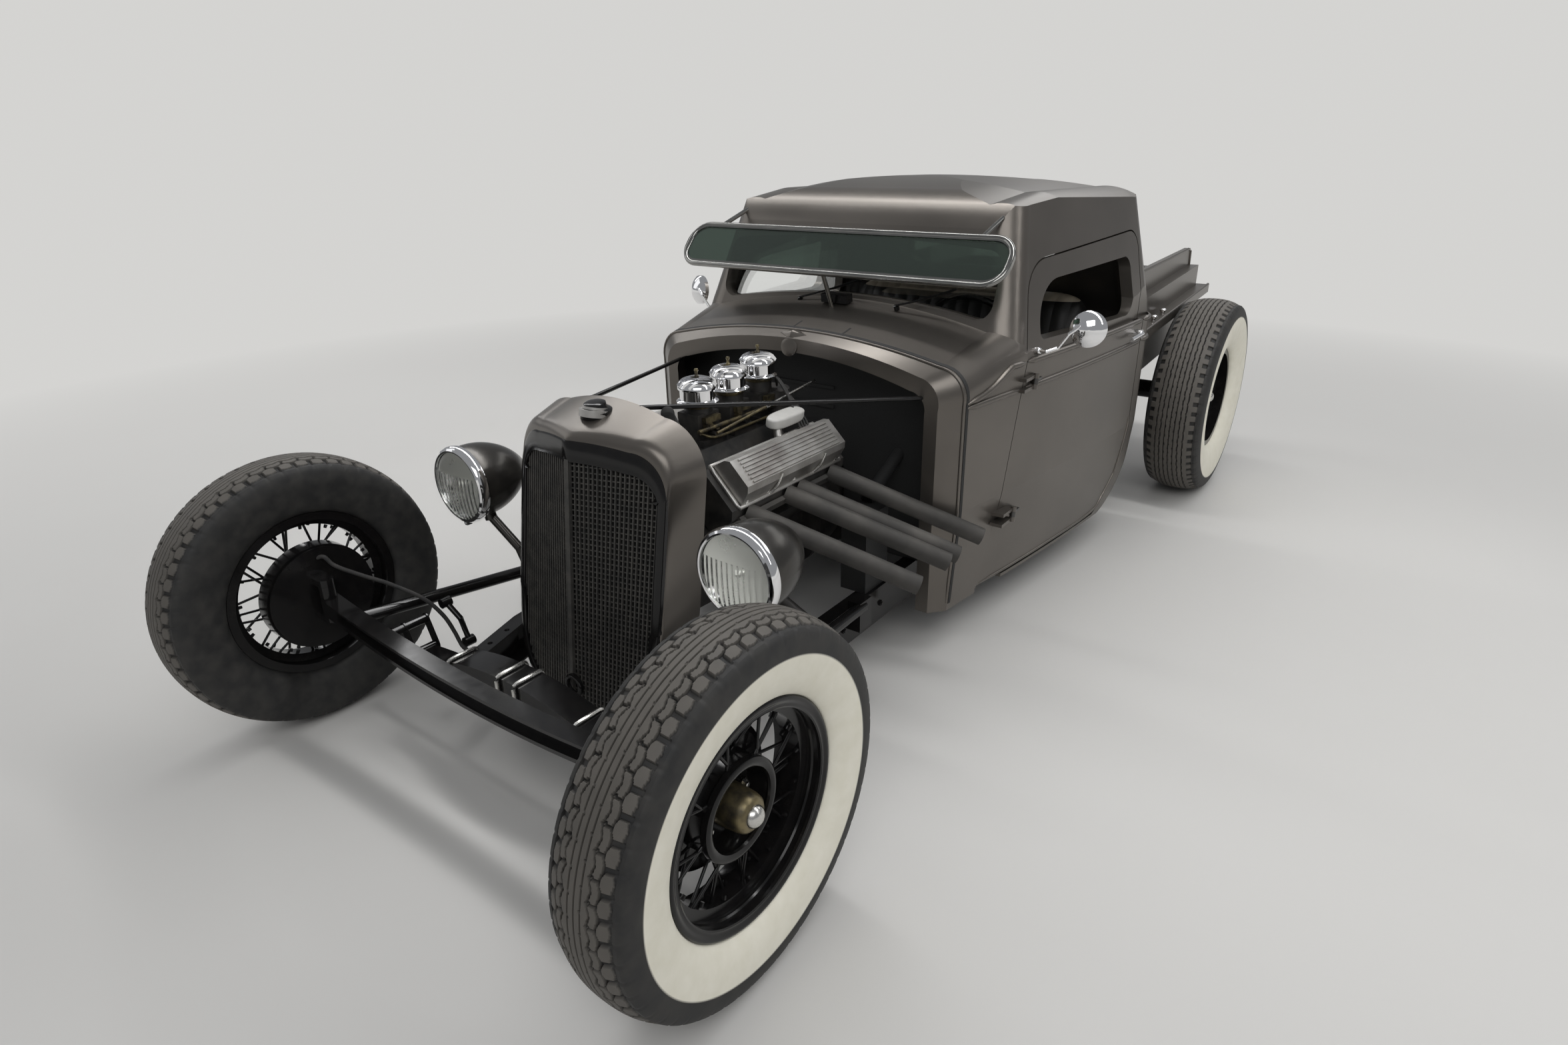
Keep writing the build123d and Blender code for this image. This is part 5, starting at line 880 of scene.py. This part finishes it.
# Flat strip on a run of spots: from 1 below the surface to the rise over it, half the width to either side
def stripOn(spots, width, rise):
    loop = np.array([(-1, -width / 2), (rise, -width / 2), (rise, width / 2), (-1, width / 2)]) / 1000
    return carried([spot[0] for spot in spots], loop, side=np.array([spot[1] for spot in spots]))


# Half-round bead laid on a run of spots: its loop is (out of the surface, along it), and both ends fade out
def beadOn(spots, width, height, fade=4):
    path = np.array([spot[0] for spot in spots])
    normal = np.array([spot[1] for spot in spots])
    turn = np.linspace(-np.pi / 2, np.pi / 2, 9)
    loop = np.stack([height * np.cos(turn), width / 2 * np.sin(turn)], 1)
    loop = np.vstack([(-2, -width / 2), loop, (-2, width / 2)]) / 1000
    step = np.arange(len(path))
    scale = np.clip(np.minimum(step + 1, len(path) - step) / fade, 0.2, 1)
    return carried(path, loop, side=normal, scale=scale)


belt = {"width": 18, "height": 9, "low": 762, "high": 838}
crease = smoothPath([(1250, 771), (1325, 783), (1379, 800), (1433, 826), (1462, 838)], 24)
level = np.linspace(1466, 2540, 110)
highRun = np.vstack([crease, np.stack([level, np.full(110, belt["high"])], 1)])
lowRun = np.stack([np.linspace(1250, 2540, 130), np.linspace(belt["low"] - 2, belt["low"] + 4, 130)], 1)
beads = {"belt_car": Parts(), "belt_left": Parts(), "belt_right": Parts()}
for hand, side in ((1, "left"), (-1, "right")):
    names = ("cowl", "cab", "door_" + side)
    for run in (highRun, lowRun):
        spots = sideSpots(run, names, hand)
        owners = [spot and ("belt_" + side if spot[2].startswith("door") else "belt_car", spot[2]) for spot in spots]
        start = 0
        for index in range(1, len(spots) + 1):
            if index == len(spots) or owners[index] != owners[start]:
                if owners[start] and index - start > 5:
                    beads[owners[start][0]].add(*beadOn(spots[start:index], belt["width"], belt["height"]))
                start = index
for name, body in (("belt_car", "car"), ("belt_left", "left_door"), ("belt_right", "right_door")):
    beads[name].piece(name, satinCharcoal, "body_paint", 50, body)

# Cowl seam: a dark gap all round with a fine roll ahead of it, found by rays towards the middle of the hoop
seam = {"gapY": 1250, "rollY": 1238, "centreZ": 520}
hoop = np.radians(np.linspace(-34, 214, 180))


# Spots of a node met by rays from 1.6 m out towards the hoop's middle, at each angle of the hoop
def hoopSpots(y, node):
    ways = np.stack([np.cos(hoop), 0 * hoop, np.sin(hoop)], 1)
    found = [meets(node, np.array((0, y, seam["centreZ"])) + 1600 * way, -way) for way in ways]
    return [spot for spot in found if spot]


Parts(stripOn(hoopSpots(seam["gapY"], "cowl"), 12, 1.2)).piece("cowl_seam", interiorBlack, "interior_black", 30)
Parts(beadOn(hoopSpots(seam["rollY"], "cowl"), 9, 4)).piece("cowl_roll", satinCharcoal, "body_paint", 50)

# Pressed lozenge in the middle of the cowl's lip, and the notch lines behind it
notch = {"half": (48, 19), "rise": 11, "y": 1217, "bulge": 29, "above": 1100}
down = (0, 0, -1)
grid = []
for along in np.linspace(-1, 1, 13):
    row = []
    for side in np.linspace(-1, 1, 17):
        x = side * notch["half"][0] * (1 - 0.8 * abs(along))
        y = notch["y"] + along * notch["half"][1]
        spot, normal = meets("cowl", (x, y, notch["above"]), down)
        swell = notch["rise"] * (1 - abs(side)) * (1 - along ** 2) + 0.4
        row.append(np.array(spot) + np.array(normal) * swell / 1000)
    grid.append(row)
faces = gridFaces(13, 17).tolist()
lozenge = addPiece("cowl_lozenge", np.array(grid), faces, satinCharcoal, "car", angle=25)
brow, normal = meets("cowl", (0, 1197, notch["above"]), down)
swellOut = [(-2, notch["bulge"]), (1.5, notch["bulge"]), (3.5, 25), (5, 17), (5.6, 8), (5.8, 1)]
peak = turned(swellOut, (0, 1195, brow[2] * 1000 - 26), (0, -1, 0.15), 36)
Parts(peak).piece("cowl_peak", satinCharcoal, "body_paint", 25)
thicken(lozenge, 0.003)
parts = Parts()
for x in (-26, 150):
    parts.add(*stripOn([meets("cowl", (x, y, notch["above"]), down) for y in np.linspace(1252, 1300, 8)], 5, 0.8))
parts.piece("cowl_notches", interiorBlack, "interior_black", 30)

# Rolled edge along each door's foot, up round the rear corner
foot = [(1418, 156), (1800, 156), (2180, 158), (2290, 200), (2338, 262), (2366, 370), (2376, 490)]
footLine = smoothPath(foot, 110)
for hand, side in ((1, "left"), (-1, "right")):
    bead = beadOn([spot for spot in sideSpots(footLine, ("door_" + side,), hand) if spot], 9, 4.5)
    Parts(bead).piece("door_edge_" + side, satinCharcoal, "body_paint", 50, side + "_door")

# Bed: rolled rims along both edges of the rails, with chrome knobs between them
bedTrim = {"rims": (636, 548), "rim": 6, "knobs": (2700, 2835, 2960), "knobLine": 612, "knob": 13, "above": 1300}
curve = np.linspace(0.04, 1, 9)
dome = np.stack([8 + bedTrim["knob"] * (1 + np.sqrt(1 - curve ** 2)) / 2, bedTrim["knob"] * curve], 1)[::-1]
parts, rims = Parts(), Parts()
for hand in (-1, 1):
    for x in bedTrim["rims"]:
        line = [meets("bed", (hand * x, y, bedTrim["above"]), down) for y in np.linspace(2600, 3590, 24)]
        line = [np.array(spot[0]) + (0, 0, 0.001) for spot in line if spot]
        if len(line) > 4:
            rims.add(*carried(line, roundLoop(bedTrim["rim"] / 1000, 10)))
    for y in bedTrim["knobs"]:
        seat = meets("bed", (hand * bedTrim["knobLine"], y, bedTrim["above"]), down)
        if seat:
            parts.add(*turned(np.vstack([[(-2, 8), (5, 8), (7, 11)], dome]), inDrawing(seat[0]), (0, 0, 1), 20))
parts.piece("bed_knobs", chromePlate, "chrome", 40)
rims.piece("bed_rims", satinCharcoal, "body_paint", 40)

# Visor: smoked rim tube round the frame, then the wiper box and its two arms at the glass
visorRim = {"half": (578, 77), "corner": 62, "tube": 9}
turn = np.linspace(0, np.pi / 2, 12)
cornerX = visorRim["half"][0] - visorRim["corner"] * (1 - np.sin(turn))
cornerV = visorRim["half"][1] - visorRim["corner"] * (1 - np.cos(turn))
quarter = np.stack([cornerX, cornerV], 1)
loop = np.vstack([quarter, (quarter * (1, -1))[::-1], quarter * (-1, -1), (quarter * (-1, 1))[::-1]])
loopPoints = np.array([0, 1420, 1128]) + loop[:, :1] * (1, 0, 0) + loop[:, 1:] * unit([0, 0.66, 0.75])
rim = carried(at(loopPoints), roundLoop(visorRim["tube"] / 1000, 14), closed=True)
Parts(rim).piece("visor_rim", smokedChrome, "chrome", 60)
pivots = [turned([(0, 9), (12, 9), (14, 5)], spot, (0, -0.6, 1), 14) for spot in ((-150, 1470, 962), (210, 1466, 966))]
arms = [tube(route, 3.5, 8, 16) for route in (((-150, 1462, 974), (-60, 1478, 1000), (60, 1500, 1040)),
                                              ((210, 1458, 978), (290, 1474, 1000), (390, 1492, 1035)))]
wiperBox = box((0, 1452, 986), (96, 34, 26), way=(0, 1, 0.1))
Parts(wiperBox, *pivots, *arms).piece("wiper_gear", glossBlack, "chassis_black", 30)

print("stage: tail and chassis details")
parts = Parts()
for hand in (-1, 1):
    for y in range(700, 2301, 200):
        seat = meets("frame_rails", (hand * 900, y, 175), (-hand, 0, 0))
        if seat:
            parts.add(*turned([(-1, 9), (5, 9), (5, 6), (8, 5)], inDrawing(seat[0]), (hand, 0, 0), 6))
parts.piece("rail_bolts", glossBlack, "chassis_black", 20)

print("stage: front end")
uBolt = {"places": (-230, -31, 31, 230), "spring": 112, "reach": 44, "bar": 5}
front, rear = uBolt["spring"] - uBolt["reach"], uBolt["spring"] + uBolt["reach"]
parts = Parts()
for x in uBolt["places"]:
    top, normal = meets("crossmembers", (x, uBolt["spring"], 900), down)
    high = top.z * 1000 + 5
    corner = [(x, front, high - 78), (x, front, high - 10), (x, front + 3, high - 3), (x, front + 10, high),
              (x, rear - 10, high), (x, rear - 3, high - 3), (x, rear, high - 10), (x, rear, high - 78)]
    parts.add(*tube(corner, uBolt["bar"], 10))
    for y in (front, rear):
        parts.add(*turned([(0, 10), (10, 10)], (x, y, high - 74), (0, 0, 1), 6))
parts.piece("spring_bolts", brightSteel, "steel", 30)

hoses = Parts()
for hand in (-1, 1):
    route = [(648, 6, 470), (634, 18, 472), (618, 34, 444), (570, 76, 412), (520, 113, 388), (450, 160, 345),
             (420, 190, 290), (405, 204, 240), (393, 212, 196), (372, 214, 186)]
    hoses.add(*tube(np.array(route) * (hand, 1, 1), 5.5, 10, 60))
hoses.piece("brake_hoses", blackRubber, "tyre_rubber", 40)

links = Parts()
for hand in (-1, 1):
    links.add(*tube([(hand * 452, 222, 308), (hand * 415, 235, 262), (hand * 396, 238, 200)], 8, 12))
    for x, y, z in ((452, 222, 306), (396, 238, 198)):
        links.add(*turned([(-14, 14), (14, 14)], (hand * x, y, z), (0, 1, 0), 16))
links.piece("shock_links", glossBlack, "chassis_black", 30)

print("stage: floor, lamps and camera")
studio = {"key": 120.0, "fill": 40.0, "back": 70.0, "strip": 62.0, "world": 0.28, "pale": (0.66, 0.655, 0.64)}
# Near the car the floor is lit; far off, and in the sky, the eye, metal and glass see one pale tone
shade = Shade("paleFloor")
rays = [shade.node("LightPath", output=f"Is {kind} Ray") for kind in ("Camera", "Glossy", "Transmission")]
seen = rays[0] + rays[1] + rays[2]
seen = seen.math("MINIMUM", seen, 1)
x, y, z = shade.axes(shade.place())
square = x * x + y * y
distance = square.math("SQRT", square)
tone = shade.mix(shade.noise(0.6, 3), (0.60, 0.59, 0.57), (0.66, 0.65, 0.63))
lit = shade.node("BsdfPrincipled", {}, {"Base Color": tone, "Roughness": 0.7})
glow = shade.node("Emission", {}, {"Color": studio["pale"], "Strength": 1.0})
shade.show(shade.node("MixShader", {}, {0: distance.ramp(2.7, 6.0) * seen, 1: lit, 2: glow}))
ground = [(-30, -30, 0), (30, -30, 0), (30, 30, 0), (-30, 30, 0)]
floor = meshPiece("floor", ground, [(0, 1, 2, 3)], shade.material, False)
floor.location.z = -0.001

scene.world = bpy.data.worlds.new("studioSky")
shade = Shade("studioSky", scene.world)
rays = [shade.node("LightPath", output=f"Is {kind} Ray") for kind in ("Camera", "Transmission")]
soft = shade.node("Background", {}, {0: (0.95, 0.97, 1.0), 1: studio["world"]})
pale = shade.node("Background", {}, {0: studio["pale"], 1: 1.0})
shade.show(shade.node("MixShader", {}, {0: rays[0].math("MAXIMUM", *rays), 1: soft, 2: pale}), "OutputWorld")

for name, power, size, spot, aim in (
    ("keyLamp", studio["key"], (5, 3), (3.5, -4.5, 5.0), (0, 0, 0.5)),
    ("fillLamp", studio["fill"], (4, 4), (-5.5, -2.5, 3.5), (0, 0, 0.5)),
    ("backLamp", studio["back"], (6, 2), (1.0, 6.0, 4.5), (0, 0.5, 0.8)),
    ("leftStrip", studio["strip"], (0.35, 9), (1.9, 0.5, 4.2), (0.6, 0.5, 0)),
    ("middleStrip", studio["strip"], (0.35, 9), (0.1, 0.5, 4.4), (0, 0.5, 0)),
    ("rightStrip", studio["strip"], (0.35, 9), (-1.9, 0.5, 4.2), (-0.6, 0.5, 0)),
):
    light = bpy.data.lights.new(name, "AREA")
    light.shape = "RECTANGLE"
    light.size, light.size_y = size
    light.energy = power
    lamp = bpy.data.objects.new(name, light)
    lamp.location = spot
    lamp.rotation_euler = (Vector(aim) - Vector(spot)).to_track_quat("-Z", "Y").to_euler()
    scene.collection.objects.link(lamp)

# The photograph's viewpoint, with angles in radians
viewpoint = {"place": (1.5716, frontAxle - 0.9448, 1.4365), "yaw": 0.6425, "pitch": -0.4023, "roll": -0.0174,
             "lens": 20.48}
cosYaw, sinYaw = math.cos(viewpoint["yaw"]), math.sin(viewpoint["yaw"])
cosPitch, sinPitch = math.cos(viewpoint["pitch"]), math.sin(viewpoint["pitch"])
ahead = Vector((-sinYaw * cosPitch, cosYaw * cosPitch, sinPitch))
right = Vector((cosYaw, sinYaw, 0))
up = right.cross(ahead)
cosRoll, sinRoll = math.cos(viewpoint["roll"]), math.sin(viewpoint["roll"])
rightTurned = cosRoll * right + sinRoll * up
upTurned = cosRoll * up - sinRoll * right
lens = bpy.data.cameras.new("camera")
lens.lens = viewpoint["lens"]
lens.sensor_width = 36
lens.sensor_fit = "HORIZONTAL"
camera = bpy.data.objects.new("camera", lens)
turn = Matrix((rightTurned, upTurned, -ahead)).transposed().to_4x4()
camera.matrix_world = Matrix.Translation(viewpoint["place"]) @ turn
scene.collection.objects.link(camera)
scene.camera = camera
scene.view_settings.view_transform = "Standard"
